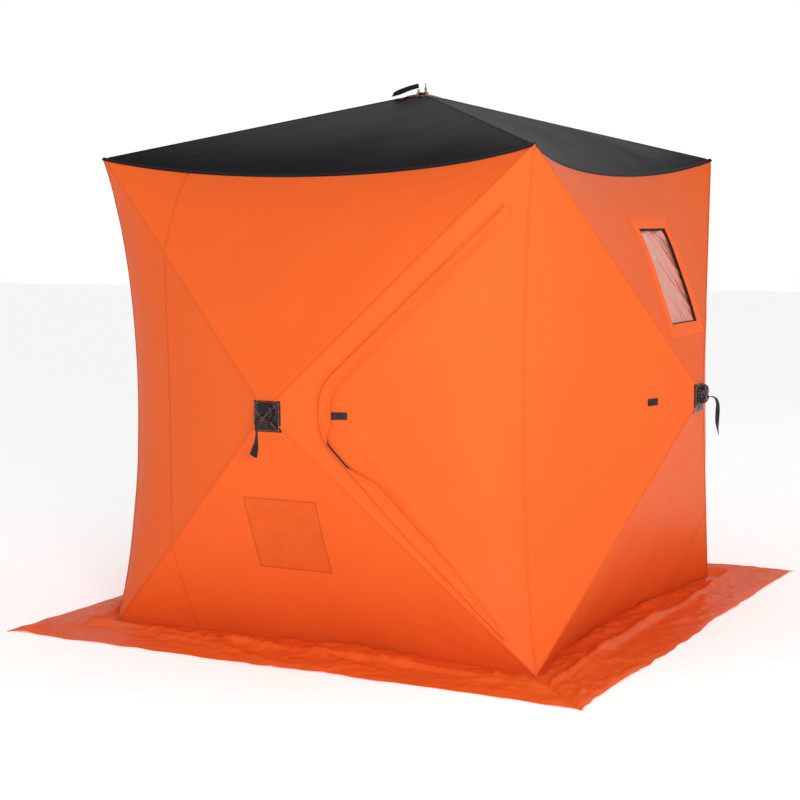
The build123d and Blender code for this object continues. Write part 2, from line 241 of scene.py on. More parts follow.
# --------------------------------------------------------------------------- tensioned cloth
@dataclass
class TensionedBay:
    """A cloth triangle in balance between two pole ridges and the seam it shares with its neighbour.

    The grid's first index runs from the start corner to this side's hub and its second to the hub
    beyond the seam, so the seam is the diagonal, and the bay is the half where first >= second.
    """

    start: tuple[float, float, float]
    hub: tuple[float, float, float]
    beyond: tuple[float, float, float]
    end: tuple[float, float, float]
    stiffness: float
    tape_pull: float
    ground_bow: float | None = None
    cells: int = PANEL_CELLS

    def solve(self) -> np.ndarray:
        """Balances the net of threads and returns its points, refined once.

        Returns:
            Points of the whole grid, in the side's frame.
        """
        n = self.cells
        step = np.linspace(0, 1, n + 1)
        s, t = np.meshgrid(step, step, indexing="ij")
        corners = [np.array(c, float) for c in (self.start, self.hub, self.beyond, self.end)]
        grid = ((1 - s) * (1 - t))[..., None] * corners[0] + (s * (1 - t))[..., None] * corners[1]
        grid += ((1 - s) * t)[..., None] * corners[2] + (s * t)[..., None] * corners[3]
        held = self.ground_bow is not None
        if held:
            for k in range(n + 1):
                grid[k, k] = corners[0] + (corners[3] - corners[0]) * step[k]
                grid[k, k, 2] -= self.ground_bow * 4 * step[k] * (1 - step[k])
        free = [(i, j) for i in range(1, n) for j in range(1, n) if not held or i > j]
        number = {place: k for k, place in enumerate(free)}
        pull, load = np.zeros((len(free), len(free))), np.zeros((len(free), 3))
        for (i, j), k in number.items():
            along = self.stiffness + (self.tape_pull if i == j else 0.0)
            threads = (1, 0, 1.0), (-1, 0, 1.0), (0, 1, 1.0), (0, -1, 1.0), (1, 1, along), (-1, -1, along)
            for di, dj, q in threads:
                pull[k, k] += q
                other = number.get((i + di, j + dj))
                if other is None:
                    load[k] += q * grid[i + di, j + dj]
                else:
                    pull[k, other] -= q
        solved = np.linalg.solve(pull, load)
        for (i, j), k in number.items():
            grid[i, j] = solved[k]
        if held:
            for i in range(n + 1):
                for j in range(i):
                    grid[j, i] = grid[i, i] + grid[j, j] - grid[i, j]
        return self.refine(self.refine(grid).transpose(1, 0, 2)).transpose(1, 0, 2)

    @staticmethod
    def refine(grid: np.ndarray) -> np.ndarray:
        """Puts a point between each two along the first index, on a smooth curve.

        Args:
            grid: points, first index first.

        Returns:
            The grid with twice as many cells that way.
        """
        fine = np.zeros((2 * grid.shape[0] - 1, *grid.shape[1:]))
        fine[::2] = grid
        fine[3:-3:2] = (-grid[:-3] + 9 * grid[1:-2] + 9 * grid[2:-1] - grid[3:]) / 16
        fine[1] = (3 * grid[0] + 6 * grid[1] - grid[2]) / 8
        fine[-2] = (3 * grid[-1] + 6 * grid[-2] - grid[-3]) / 8
        return fine


@dataclass
class BayCloth:
    """One bay's points, faces and the shares in which it follows its hub or its carrier."""

    points: np.ndarray
    faces: list[tuple[int, ...]]
    hub_share: np.ndarray
    lean_share: np.ndarray

    @classmethod
    def from_grid(cls, grid: np.ndarray, reach: float, travel: float, wrinkles: "Wrinkles") -> "BayCloth":
        """Takes the bay's half of a solved grid, with its wrinkles.

        Args:
            grid: the solved points.
            reach: height of the hub's peak.
            travel: how far the hub is pushed in.
            wrinkles: what creases the cloth.

        Returns:
            The bay's cloth, its faces pointing outward.
        """
        n = grid.shape[0] - 1
        i, j = np.meshgrid(np.arange(n + 1), np.arange(n + 1), indexing="ij")
        rise = (i - j) / n
        grid = grid + wrinkles.offset(grid, i / n, j / n)
        keep = i >= j
        number = -np.ones((n + 1, n + 1), int)
        number[keep] = np.arange(keep.sum())
        faces = []
        for a in range(n):
            for b in range(a + 1):
                if a == b:
                    faces.append((number[a, a], number[a + 1, a], number[a + 1, a + 1]))
                else:
                    faces.append((number[a, b], number[a + 1, b], number[a + 1, b + 1], number[a, b + 1]))
        points = grid[keep]
        first = faces[len(faces) // 2]
        normal = np.cross(points[first[1]] - points[first[0]], points[first[2]] - points[first[0]])
        if normal[2] < 0:
            faces = [tuple(reversed(f)) for f in faces]
        rise = rise[keep]
        sag = rise * reach - points[:, 2]
        flip = 2 * sag * smoothstep(rise / 0.25) / travel
        hub_share = np.clip(rise - np.where(rise > 0.98, 0, flip), 0, 1)
        reach_in = np.minimum(i + j, 2 * n - i - j)[keep]
        away = (i - j)[keep] / np.maximum(reach_in, 1)
        lean_share = smoothstep(away / 0.14)
        return cls(points, faces, hub_share, lean_share)

    def turned(self, quarter: int) -> "BayCloth":
        """The same cloth turned about the hub's axis by quarter turns."""
        c, s = round(math.cos(quarter * math.pi / 2)), round(math.sin(quarter * math.pi / 2))
        turn = np.array([[c, s, 0], [-s, c, 0], [0, 0, 1]], float)
        return BayCloth(self.points @ turn, self.faces, self.hub_share, self.lean_share)

    def mirrored(self) -> "BayCloth":
        """The same cloth on the other hand."""
        faces = [tuple(reversed(f)) for f in self.faces]
        return BayCloth(self.points * np.array([-1.0, 1, 1]), faces, self.hub_share, self.lean_share)


@dataclass
class Wrinkles:
    """Gathers at the pole corners and soft unevenness, none of it on the ridges or the seam."""

    seed: int
    gather: float = 0.0045
    waviness: float = 0.0035

    def offset(self, grid: np.ndarray, s: np.ndarray, t: np.ndarray) -> np.ndarray:
        """How far each point of a bay's grid is moved.

        Args:
            grid: the solved points.
            s: share of the way to the hub.
            t: share of the way to the hub beyond the seam.

        Returns:
            A shift for each point, along the cloth's normal.
        """
        noise = SmoothNoise(self.seed)
        normal = np.cross(np.gradient(grid, axis=0), np.gradient(grid, axis=1))
        length = np.linalg.norm(normal, axis=2, keepdims=True)
        normal = normal / np.maximum(length, 1e-9)
        height = np.zeros_like(s)
        for near_s, near_t, corner in ((s, t, grid[0, 0]), (1 - t, 1 - s, grid[-1, -1])):
            fan = near_t / np.maximum(near_s, 1e-6)
            away = np.linalg.norm(grid - corner, axis=2)
            pleat = np.sin(2 * math.pi * (4.5 * fan + 0.8 * noise.at(fan * 3, away * 6)))
            span = (away / 0.10) * np.exp(-away / 0.12)
            height += self.gather * pleat * span * np.sin(math.pi * np.clip(fan, 0, 1)) ** 0.7
        edge = np.clip(np.minimum(np.minimum(t, 1 - s), np.abs(s - t)) / 0.12, 0, 1)
        x, y = grid[..., 0], grid[..., 1]
        soft = noise.at(x * 4 + 20, y * 4 + 20) - 0.5 + 0.4 * (noise.at(x * 11 + 5, y * 11 + 9) - 0.5)
        height += self.waviness * 2 * soft * smoothstep(edge)
        return normal * height[..., None]


class SideCloth:
    """All four bays of a side, and a way to lay other pieces on them."""

    def __init__(self, frame_: SideFrame, bays: dict[Bay, BayCloth]) -> None:
        """Keeps the bays and builds the surface that pieces are laid on.

        Args:
            frame_: the side's frame.
            bays: its four bays.
        """
        self.frame = frame_
        self.bays = bays
        points, triangles, hub, lean, start = [], [], [], [], 0
        for bay in bays.values():
            points.append(bay.points)
            hub.append(bay.hub_share)
            lean.append(bay.lean_share)
            for f in bay.faces:
                for k in range(1, len(f) - 1):
                    triangles.append((f[0] + start, f[k] + start, f[k + 1] + start))
            start += len(bay.points)
        self.points, self.triangles = np.concatenate(points), triangles
        self.hub_share, self.lean_share = np.concatenate(hub), np.concatenate(lean)
        self.tree = BVHTree.FromPolygons(self.points.tolist(), triangles)

    def lay(self, flat: np.ndarray, lift: np.ndarray | float) -> tuple[np.ndarray, np.ndarray, np.ndarray]:
        """Lays flat points on the cloth.

        Args:
            flat: N by 2 points across and up.
            lift: height above the cloth, for each point or for all.

        Returns:
            The laid points, their hub shares and their lean shares.
        """
        lift = np.broadcast_to(np.asarray(lift, float), (len(flat),))
        laid, hub, lean = np.zeros((len(flat), 3)), np.zeros(len(flat)), np.zeros(len(flat))
        for k, (x, y) in enumerate(flat):
            spot, normal, face, _ = self.tree.ray_cast(Vector((x, y, 2.0)), Vector((0, 0, -1)))
            if spot is None:
                spot, normal, face, _ = self.tree.find_nearest(Vector((x, y, 0)))
            corners = self.triangles[face]
            a, b, c = (self.points[i] for i in corners)
            area = (b[0] - a[0]) * (c[1] - a[1]) - (b[1] - a[1]) * (c[0] - a[0])
            area = area if abs(area) > 1e-12 else 1e-12
            v = ((spot.x - a[0]) * (c[1] - a[1]) - (spot.y - a[1]) * (c[0] - a[0])) / area
            w = ((b[0] - a[0]) * (spot.y - a[1]) - (b[1] - a[1]) * (spot.x - a[0])) / area
            weights = np.clip([1 - v - w, v, w], 0, 1)
            normal = normal if normal.z > 0 else -normal
            laid[k] = np.array(spot) + np.array(normal) * lift[k]
            hub[k] = weights @ self.hub_share[list(corners)]
            lean[k] = weights @ self.lean_share[list(corners)]
        return laid, hub, lean


# --------------------------------------------------------------------------- shader groups
class Sheet:
    """A node tree being filled in."""

    def __init__(self, tree: bpy.types.NodeTree) -> None:
        """Keeps the tree that nodes go into."""
        self.tree = tree

    def add(self, kind: str, inputs: dict | None = None, **props: object) -> bpy.types.Node:
        """Adds a node.

        Args:
            kind: the node's type.
            inputs: a value or another node's output for each named or numbered input.
            **props: the node's own settings.

        Returns:
            The new node.
        """
        node = self.tree.nodes.new(kind)
        for name, value in props.items():
            setattr(node, name, value)
        for name, value in (inputs or {}).items():
            if isinstance(value, bpy.types.NodeSocket):
                self.tree.links.new(value, node.inputs[name])
            else:
                node.inputs[name].default_value = value
        return node

    def maths(self, operation: str, a: object, b: object = 0.0, c: object = 0.0) -> bpy.types.NodeSocket:
        """A Math node's output for up to three values."""
        node = self.add("ShaderNodeMath", operation=operation)
        for slot, value in enumerate((a, b, c)):
            if isinstance(value, bpy.types.NodeSocket):
                self.tree.links.new(value, node.inputs[slot])
            else:
                node.inputs[slot].default_value = value
        return node.outputs[0]

    def link(self, source: bpy.types.NodeSocket, target: bpy.types.NodeSocket) -> None:
        """Wires one socket to another."""
        self.tree.links.new(source, target)

    def noise(self, place: object, scale: object, detail: float) -> bpy.types.NodeSocket:
        """Cloudy noise of a size and a depth of detail."""
        return self.add("ShaderNodeTexNoise", {"Vector": place, "Scale": scale, "Detail": detail}).outputs[0]

    def bump(self, height: bpy.types.NodeSocket) -> bpy.types.NodeSocket:
        """A normal from a height in metres."""
        return self.add("ShaderNodeBump", {"Height": height, "Strength": 1.0, "Distance": 1.0}).outputs[0]

    def mix(self, share: object, a: object, b: object) -> bpy.types.NodeSocket:
        """A colour between two, by a share."""
        node = self.add("ShaderNodeMix", data_type="RGBA")
        for slot, value in ((0, share), (6, a), (7, b)):
            if isinstance(value, bpy.types.NodeSocket):
                self.tree.links.new(value, node.inputs[slot])
            elif slot:
                node.inputs[slot].default_value = (*value[:3], 1.0)
            else:
                node.inputs[slot].default_value = value
        return node.outputs[2]


class Effects:
    """Shader groups that several materials share, each built once."""

    def __init__(self) -> None:
        """Builds the groups."""
        self.weave = self.build_weave()
        self.creases = self.build_creases()
        self.stitches = self.build_stitches()

    @staticmethod
    def start(name: str, inputs: list[tuple[str, str, object]], outputs: list[tuple[str, str]]) -> tuple:
        """Makes an empty group with its sockets.

        Args:
            name: the group's name.
            inputs: name, socket type and default of each input.
            outputs: name and socket type of each output.

        Returns:
            The group, its sheet, its inputs' node and its outputs' node.
        """
        group = bpy.data.node_groups.new(name, "ShaderNodeTree")
        for label, kind, default in inputs:
            socket = group.interface.new_socket(label, in_out="INPUT", socket_type=kind)
            if default is not None:
                socket.default_value = default
        for label, kind in outputs:
            group.interface.new_socket(label, in_out="OUTPUT", socket_type=kind)
        sheet = Sheet(group)
        return group, sheet, sheet.add("NodeGroupInput"), sheet.add("NodeGroupOutput")

    def build_weave(self) -> bpy.types.NodeTree:
        """Plain weave: crossed threads, and the unevenness of the yarn."""
        group, sheet, given, result = self.start(
            "plain_weave",
            [("Vector", "NodeSocketVector", None), ("Pitch", "NodeSocketFloat", 0.0006)],
            [("Height", "NodeSocketFloat"), ("Tone", "NodeSocketFloat")],
        )
        axes = sheet.add("ShaderNodeSeparateXYZ", {0: given.outputs["Vector"]})
        turns = sheet.maths("DIVIDE", 2 * math.pi, given.outputs["Pitch"])
        warp = sheet.maths("SINE", sheet.maths("MULTIPLY", axes.outputs[0], turns))
        weft = sheet.maths("SINE", sheet.maths("MULTIPLY", axes.outputs[1], turns))
        height = sheet.maths("MULTIPLY_ADD", sheet.maths("MULTIPLY", warp, weft), 0.5, 0.5)
        vector = given.outputs["Vector"]
        yarn = sheet.add("ShaderNodeTexNoise", {"Vector": vector, "Scale": 260.0, "Detail": 2.0})
        tone = sheet.maths("MULTIPLY_ADD", sheet.maths("SUBTRACT", yarn.outputs[0], 0.5), 0.35, 0.5)
        sheet.link(height, result.inputs["Height"])
        sheet.link(tone, result.inputs["Tone"])
        return group

    def build_creases(self) -> bpy.types.NodeTree:
        """Thin sharp creases over broad soft ones, as coated cloth keeps from its bag."""
        group, sheet, given, result = self.start(
            "packing_creases",
            [("Vector", "NodeSocketVector", None), ("Scale", "NodeSocketFloat", 6.0)],
            [("Height", "NodeSocketFloat"), ("Mask", "NodeSocketFloat")],
        )
        bend = sheet.add(
            "ShaderNodeTexNoise",
            {"Vector": given.outputs["Vector"], "Scale": given.outputs["Scale"], "Detail": 3.0},
        )
        bent = sheet.add("ShaderNodeVectorMath", {0: given.outputs["Vector"]}, operation="ADD")
        scaled = sheet.add("ShaderNodeVectorMath", {0: bend.outputs[1]}, operation="SCALE")
        scaled.inputs["Scale"].default_value = 0.12
        sheet.link(scaled.outputs[0], bent.inputs[1])
        cells = sheet.add(
            "ShaderNodeTexVoronoi",
            {"Vector": bent.outputs[0], "Scale": given.outputs["Scale"]},
            feature="DISTANCE_TO_EDGE",
        )
        off_line = sheet.maths("MINIMUM", sheet.maths("MULTIPLY", cells.outputs[0], 14.0), 1.0)
        line = sheet.maths("SUBTRACT", 1.0, off_line)
        patchy = sheet.maths("SMOOTH_MIN", sheet.maths("MULTIPLY", bend.outputs[0], 1.4), 1.0, 0.2)
        sharp = sheet.maths("MULTIPLY", line, patchy)
        height = sheet.maths("MULTIPLY_ADD", sharp, 0.12, bend.outputs[0])
        sheet.link(height, result.inputs["Height"])
        sheet.link(sharp, result.inputs["Mask"])
        return group

    def build_stitches(self) -> bpy.types.NodeTree:
        """Two rows of thread along a tape: along its length in the first coordinate, across in the second."""
        group, sheet, given, result = self.start(
            "twin_stitches",
            [
                ("Vector", "NodeSocketVector", None),
                ("Row", "NodeSocketFloat", 0.003),
                ("Pitch", "NodeSocketFloat", 0.0045),
                ("Thread", "NodeSocketFloat", 0.0007),
            ],
            [("Mask", "NodeSocketFloat"), ("Height", "NodeSocketFloat")],
        )
        axes = sheet.add("ShaderNodeSeparateXYZ", {0: given.outputs["Vector"]})
        off_middle = sheet.maths("ABSOLUTE", axes.outputs[1])
        off_row = sheet.maths("ABSOLUTE", sheet.maths("SUBTRACT", off_middle, given.outputs["Row"]))
        off_thread = sheet.maths("MINIMUM", sheet.maths("DIVIDE", off_row, given.outputs["Thread"]), 1.0)
        near = sheet.maths("SUBTRACT", 1.0, off_thread)
        beat = sheet.maths("FRACT", sheet.maths("DIVIDE", axes.outputs[0], given.outputs["Pitch"]))
        dash = sheet.maths("LESS_THAN", sheet.maths("ABSOLUTE", sheet.maths("SUBTRACT", beat, 0.5)), 0.36)
        mask = sheet.maths("MULTIPLY", sheet.maths("GREATER_THAN", near, 0.05), dash)
        height = sheet.maths("MULTIPLY", sheet.maths("POWER", near, 0.5), dash)
        sheet.link(mask, result.inputs["Mask"])
        sheet.link(height, result.inputs["Height"])
        return group


# --------------------------------------------------------------------------- finishes
@dataclass(frozen=True)
class ClothFinish:
    """Coated polyester cloth: a colour, how it shades, and how creased it is."""

    name: str
    colour: tuple[float, float, float]
    deep: tuple[float, float, float]
    roughness: float = 0.42
    crease_scale: float = 3.0
    crease_depth: float = 0.0
    pucker: float = 0.0
    stitched: bool = False
    # box across, up, wide and high of painted shade where a pocket is sewn behind, with its stitch line
    backing_shade_box: tuple[float, float, float, float] | None = None
    # how far the creases are darkened as painted shade, and roughened
    crease_shade_and_roughness: float = 0.0
    gloss: float = 0.05

    def make(self, effects: Effects) -> bpy.types.Material:
        """Builds the material on the piece's own map, in metres.

        Args:
            effects: the shared shader groups.

        Returns:
            The material.
        """
        material = bpy.data.materials.new(self.name)
        material.use_nodes = True
        sheet = Sheet(material.node_tree)
        shader = material.node_tree.nodes["Principled BSDF"]
        place = sheet.add("ShaderNodeUVMap", uv_map="cloth").outputs[0]
        solid = sheet.add("ShaderNodeTexCoord").outputs["Object"]
        weave = sheet.add("ShaderNodeGroup", node_tree=effects.weave)
        sheet.link(place, weave.inputs["Vector"])
        crease = sheet.add("ShaderNodeGroup", node_tree=effects.creases)
        crease.inputs["Scale"].default_value = self.crease_scale
        sheet.link(solid, crease.inputs["Vector"])
        broad = sheet.noise(solid, 1.3, 2.0)
        woven = sheet.maths("MULTIPLY", weave.outputs["Tone"], 0.5)
        tone = sheet.maths("MULTIPLY_ADD", broad, 0.5, woven)
        # painted shade: the colour darkens along the creases
        tone = sheet.maths("MULTIPLY_ADD", crease.outputs["Mask"], self.crease_shade_and_roughness, tone)
        colour = sheet.mix(sheet.maths("MULTIPLY_ADD", tone, 0.9, -0.1), self.colour, self.deep)
        height = sheet.maths("MULTIPLY", crease.outputs["Height"], self.crease_depth)
        height = sheet.maths("MULTIPLY_ADD", weave.outputs["Height"], 0.00004, height)
        if self.pucker:
            along = sheet.add("ShaderNodeSeparateXYZ", {0: place})
            beat = sheet.add(
                "ShaderNodeTexNoise", {"W": sheet.maths("MULTIPLY", along.outputs[0], 45.0), "Detail": 1.0},
                noise_dimensions="1D",
            )
            height = sheet.maths("MULTIPLY_ADD", beat.outputs[0], self.pucker, height)
        if self.stitched:
            rows = sheet.add("ShaderNodeGroup", node_tree=effects.stitches)
            sheet.link(place, rows.inputs["Vector"])
            darker = tuple(0.62 * c for c in self.deep)
            colour = sheet.mix(sheet.maths("MULTIPLY", rows.outputs["Mask"], 0.8), colour, darker)
            height = sheet.maths("MULTIPLY_ADD", rows.outputs["Height"], 0.0004, height)
        if self.backing_shade_box:
            colour = self.paint_backing_shade(sheet, place, colour)
        bump = sheet.bump(height)
        # the same amount also roughens the creases
        rough = sheet.maths("MULTIPLY_ADD", crease.outputs["Mask"], 4 * self.crease_shade_and_roughness, self.roughness)
        rough = sheet.maths("MULTIPLY_ADD", sheet.maths("SUBTRACT", broad, 0.5), 0.1, rough)
        sheet.link(colour, shader.inputs["Base Color"])
        sheet.link(rough, shader.inputs["Roughness"])
        sheet.link(bump, shader.inputs["Normal"])
        shader.inputs["Specular IOR Level"].default_value = self.gloss
        return material

    def paint_backing_shade(
        self, sheet: Sheet, place: bpy.types.NodeSocket, colour: bpy.types.NodeSocket
    ) -> bpy.types.NodeSocket:
        """Paints shade on the cloth where a second layer is sewn behind it, the pocket's shadow seen through
        the thin cloth, and draws its stitch line.

        Args:
            sheet: the material's nodes.
            place: the piece's map.
            colour: the cloth's colour so far.

        Returns:
            The colour with the pocket's painted shade and its stitch line in it.
        """
        x, y, width, height = self.backing_shade_box
        axes = sheet.add("ShaderNodeSeparateXYZ", {0: place})
        off_x = sheet.maths("ABSOLUTE", sheet.maths("SUBTRACT", axes.outputs[0], x))
        off_y = sheet.maths("ABSOLUTE", sheet.maths("SUBTRACT", axes.outputs[1], y))
        dx = sheet.maths("SUBTRACT", off_x, width / 2)
        dy = sheet.maths("SUBTRACT", off_y, height / 2)
        edge = sheet.maths("MAXIMUM", dx, dy)
        inside = sheet.maths("LESS_THAN", edge, 0.0)
        hem = sheet.maths("LESS_THAN", sheet.maths("ABSOLUTE", sheet.maths("ADD", edge, 0.006)), 0.0022)
        # painted shade: the pocket's shadow through the cloth inside the box, made uneven by noise
        shade_mottle = sheet.add("ShaderNodeTexNoise", {"Vector": place, "Scale": 18.0, "Detail": 3.0})
        share = sheet.maths("MULTIPLY", inside, sheet.maths("MULTIPLY", shade_mottle.outputs[0], 0.42))
        share = sheet.maths("MULTIPLY_ADD", hem, 0.4, share)
        return sheet.mix(share, colour, tuple(0.55 * c for c in self.deep))


@dataclass(frozen=True)
class SolidFinish:
    """Moulded, turned or drawn material: colour, gloss, metal and fine grain."""

    name: str
    colour: tuple[float, float, float]
    worn: tuple[float, float, float]
    roughness: float
    metallic: float = 0.0
    grain: float = 900.0
    grain_depth: float = 0.00004
    coat: float = 0.0
    gloss: float = 0.3

    def make(self) -> bpy.types.Material:
        """Builds the material on Object coordinates.

        Returns:
            The material.
        """
        material = bpy.data.materials.new(self.name)
        material.use_nodes = True
        sheet = Sheet(material.node_tree)
        shader = material.node_tree.nodes["Principled BSDF"]
        solid = sheet.add("ShaderNodeTexCoord").outputs["Object"]
        grain = sheet.noise(solid, self.grain, 3.0)
        wear = sheet.noise(solid, self.grain / 22, 4.0)
        share = sheet.maths("MULTIPLY_ADD", wear, 1.1, -0.35)
        colour = sheet.mix(sheet.maths("MAXIMUM", share, 0.0), self.colour, self.worn)
        rough = sheet.maths("MULTIPLY_ADD", sheet.maths("SUBTRACT", wear, 0.5), 0.22, self.roughness)
        height = sheet.maths("MULTIPLY", grain, self.grain_depth)
        bump = sheet.bump(height)
        sheet.link(colour, shader.inputs["Base Color"])
        sheet.link(rough, shader.inputs["Roughness"])
        sheet.link(bump, shader.inputs["Normal"])
        shader.inputs["Metallic"].default_value = self.metallic
        shader.inputs["Coat Weight"].default_value = self.coat
        shader.inputs["Specular IOR Level"].default_value = self.gloss
        return material


@dataclass(frozen=True)
class WebbingFinish:
    """Narrow woven webbing: chevrons of yarn across the tape, the raised yarn painted lighter as a highlight.
    """

    name: str
    colour: tuple[float, float, float]
    crest_highlight: tuple[float, float, float]
    pitch: float = 0.0018
    relief: float = 0.0003

    def make(self) -> bpy.types.Material:
        """Builds the material on Object coordinates.

        Returns:
            The material.
        """
        material = bpy.data.materials.new(self.name)
        material.use_nodes = True
        sheet = Sheet(material.node_tree)
        shader = material.node_tree.nodes["Principled BSDF"]
        solid = sheet.add("ShaderNodeTexCoord").outputs["Object"]
        axes = sheet.add("ShaderNodeSeparateXYZ", {0: solid})
        lean = sheet.maths("ABSOLUTE", sheet.maths("ADD", axes.outputs[0], axes.outputs[1]))
        along = sheet.maths("ADD", lean, axes.outputs[2])
        wave = sheet.maths("SINE", sheet.maths("MULTIPLY", along, 2 * math.pi / self.pitch))
        yarn = sheet.noise(solid, 1400.0, 2.0)
        height = sheet.maths("MULTIPLY_ADD", yarn, 0.6, sheet.maths("MULTIPLY", wave, 0.5))
        # painted highlight: lighter where the yarn rises, with random tone from the yarn noise
        share = sheet.maths("MULTIPLY_ADD", height, 0.4, 0.3)
        colour = sheet.mix(share, self.colour, self.crest_highlight)
        bump = sheet.bump(sheet.maths("MULTIPLY", height, self.relief))
        sheet.link(colour, shader.inputs["Base Color"])
        sheet.link(sheet.maths("MULTIPLY_ADD", yarn, 0.2, 0.6), shader.inputs["Roughness"])
        sheet.link(bump, shader.inputs["Normal"])
        shader.inputs["Sheen Weight"].default_value = 0.05
        shader.inputs["Specular IOR Level"].default_value = 0.2
        return material


@dataclass(frozen=True)
class FilmFinish:
    """Flexible clear film, painted pink with the light of the orange interior seen through it, deeper orange
    at the folds.
    """

    name: str
    colour: tuple[float, float, float]
    folded_interior_light: tuple[float, float, float]
    alpha: float = 0.82
    crease_depth: float = 0.0015

    def make(self) -> bpy.types.Material:
        """Builds the material on Object coordinates.

        Returns:
            The material.
        """
        material = bpy.data.materials.new(self.name)
        material.use_nodes = True
        sheet = Sheet(material.node_tree)
        shader = material.node_tree.nodes["Principled BSDF"]
        solid = sheet.add("ShaderNodeTexCoord").outputs["Object"]
        fold = sheet.noise(solid, 22.0, 4.0)
        # painted light: the orange interior seen through the film, deeper at the folds
        colour = sheet.mix(fold, self.colour, self.folded_interior_light)
        bump = sheet.bump(sheet.maths("MULTIPLY", fold, self.crease_depth))
        sheet.link(colour, shader.inputs["Base Color"])
        sheet.link(sheet.maths("MULTIPLY_ADD", fold, 0.15, 0.1), shader.inputs["Roughness"])
        sheet.link(bump, shader.inputs["Normal"])
        shader.inputs["Alpha"].default_value = self.alpha
        shader.inputs["Coat Weight"].default_value = 0.6
        return material


ORANGE = (0.80, 0.128, 0.024)
DEEP_ORANGE = (0.68, 0.088, 0.012)


class Wardrobe:
    """Every finish of the shelter, made once."""

    def __init__(self, effects: Effects) -> None:
        """Makes the materials.

        Args:
            effects: the shared shader groups.
        """
        self.wall = ClothFinish("orange_wall_cloth", ORANGE, DEEP_ORANGE).make(effects)
        # wall cloth with painted shade where the inner pocket lies behind it
        self.pocket_shade_wall = ClothFinish(
            "orange_wall_cloth_with_pocket_shade", ORANGE, DEEP_ORANGE, backing_shade_box=(-0.017, -0.46, 0.31, 0.28)
        ).make(effects)
        self.flap = ClothFinish(
            "orange_flap_cloth", ORANGE, DEEP_ORANGE, crease_scale=16.0, crease_depth=0.002, pucker=0.0015
        ).make(effects)
        self.skirt = ClothFinish(
            "orange_skirt_cloth", (0.84, 0.125, 0.02), (0.66, 0.08, 0.01),
            # the skirt's creases carry painted shade
            crease_scale=9.0, crease_depth=0.003, crease_shade_and_roughness=0.03, gloss=0.2,
        ).make(effects)
        self.seam = ClothFinish(
            "orange_seam_tape", ORANGE, DEEP_ORANGE,
            crease_scale=30.0, crease_depth=0.0006, pucker=0.0008, stitched=True,
        ).make(effects)
        self.roof = ClothFinish(
            "black_roof_cloth", (0.006, 0.0055, 0.007), (0.010, 0.009, 0.011), roughness=0.45
        ).make(effects)
        self.roof_seam = ClothFinish(
            "black_seam_tape", (0.006, 0.006, 0.007), (0.014, 0.014, 0.015), roughness=0.55,
            crease_scale=30.0, crease_depth=0.0005, pucker=0.0008, stitched=True, gloss=0.12,
        ).make(effects)
        self.border = ClothFinish(
            "orange_border_cloth", (0.93, 0.14, 0.025), (0.76, 0.092, 0.014),
            crease_scale=22.0, crease_depth=0.0016, pucker=0.0012,
        ).make(effects)
        self.zip_tape = ClothFinish(
            "zip_tape_cloth", DEEP_ORANGE, (0.62, 0.07, 0.01), crease_scale=30.0, crease_depth=0.0003
        ).make(effects)
        self.zip_coil = WebbingFinish(
            "zip_coil_teeth", (0.012, 0.012, 0.013), (0.06, 0.06, 0.062), pitch=0.0024
        ).make()
        self.vinyl = SolidFinish(
            "black_vinyl", (0.006, 0.006, 0.007), (0.012, 0.012, 0.013), 0.2, grain=60.0, grain_depth=0.0012
        ).make()
        self.thread = SolidFinish(
            "orange_thread", (0.9, 0.2, 0.05), (0.7, 0.12, 0.03), 0.7, grain=2000.0
        ).make()
        self.tab = SolidFinish(
            "hook_and_loop", (0.012, 0.012, 0.013), (0.05, 0.05, 0.052), 0.9, grain=1500.0, grain_depth=0.0006
        ).make()
        self.webbing = WebbingFinish("black_webbing", (0.006, 0.006, 0.007), (0.02, 0.02, 0.021)).make()
        self.film = FilmFinish("window_film", (0.74, 0.36, 0.29), (0.86, 0.22, 0.12)).make()
        self.pole = SolidFinish(
            "pole_black", (0.018, 0.018, 0.02), (0.06, 0.06, 0.062), 0.3, grain=500.0, coat=0.3
        ).make()
        self.hub = SolidFinish("hub_nylon", (0.02, 0.02, 0.021), (0.06, 0.06, 0.06), 0.5, grain=700.0).make()
        self.pin = SolidFinish(
            "pin_steel", (0.55, 0.55, 0.54), (0.35, 0.34, 0.33), 0.3, metallic=1.0, grain=900.0
        ).make()
        self.plated = SolidFinish(
            "plated_steel", (0.03, 0.03, 0.032), (0.2, 0.2, 0.2), 0.32, metallic=0.8, grain=600.0
        ).make()


# --------------------------------------------------------------------------- making pieces
@dataclass
class Follow:
    """What a piece moves with: one body, or two that it bends between."""

    body: str
    other: str | None = None
    start: tuple[float, float, float] = (0.0, 0.0, 0.0)
    end: tuple[float, float, float] = (0.0, 0.0, 1.0)


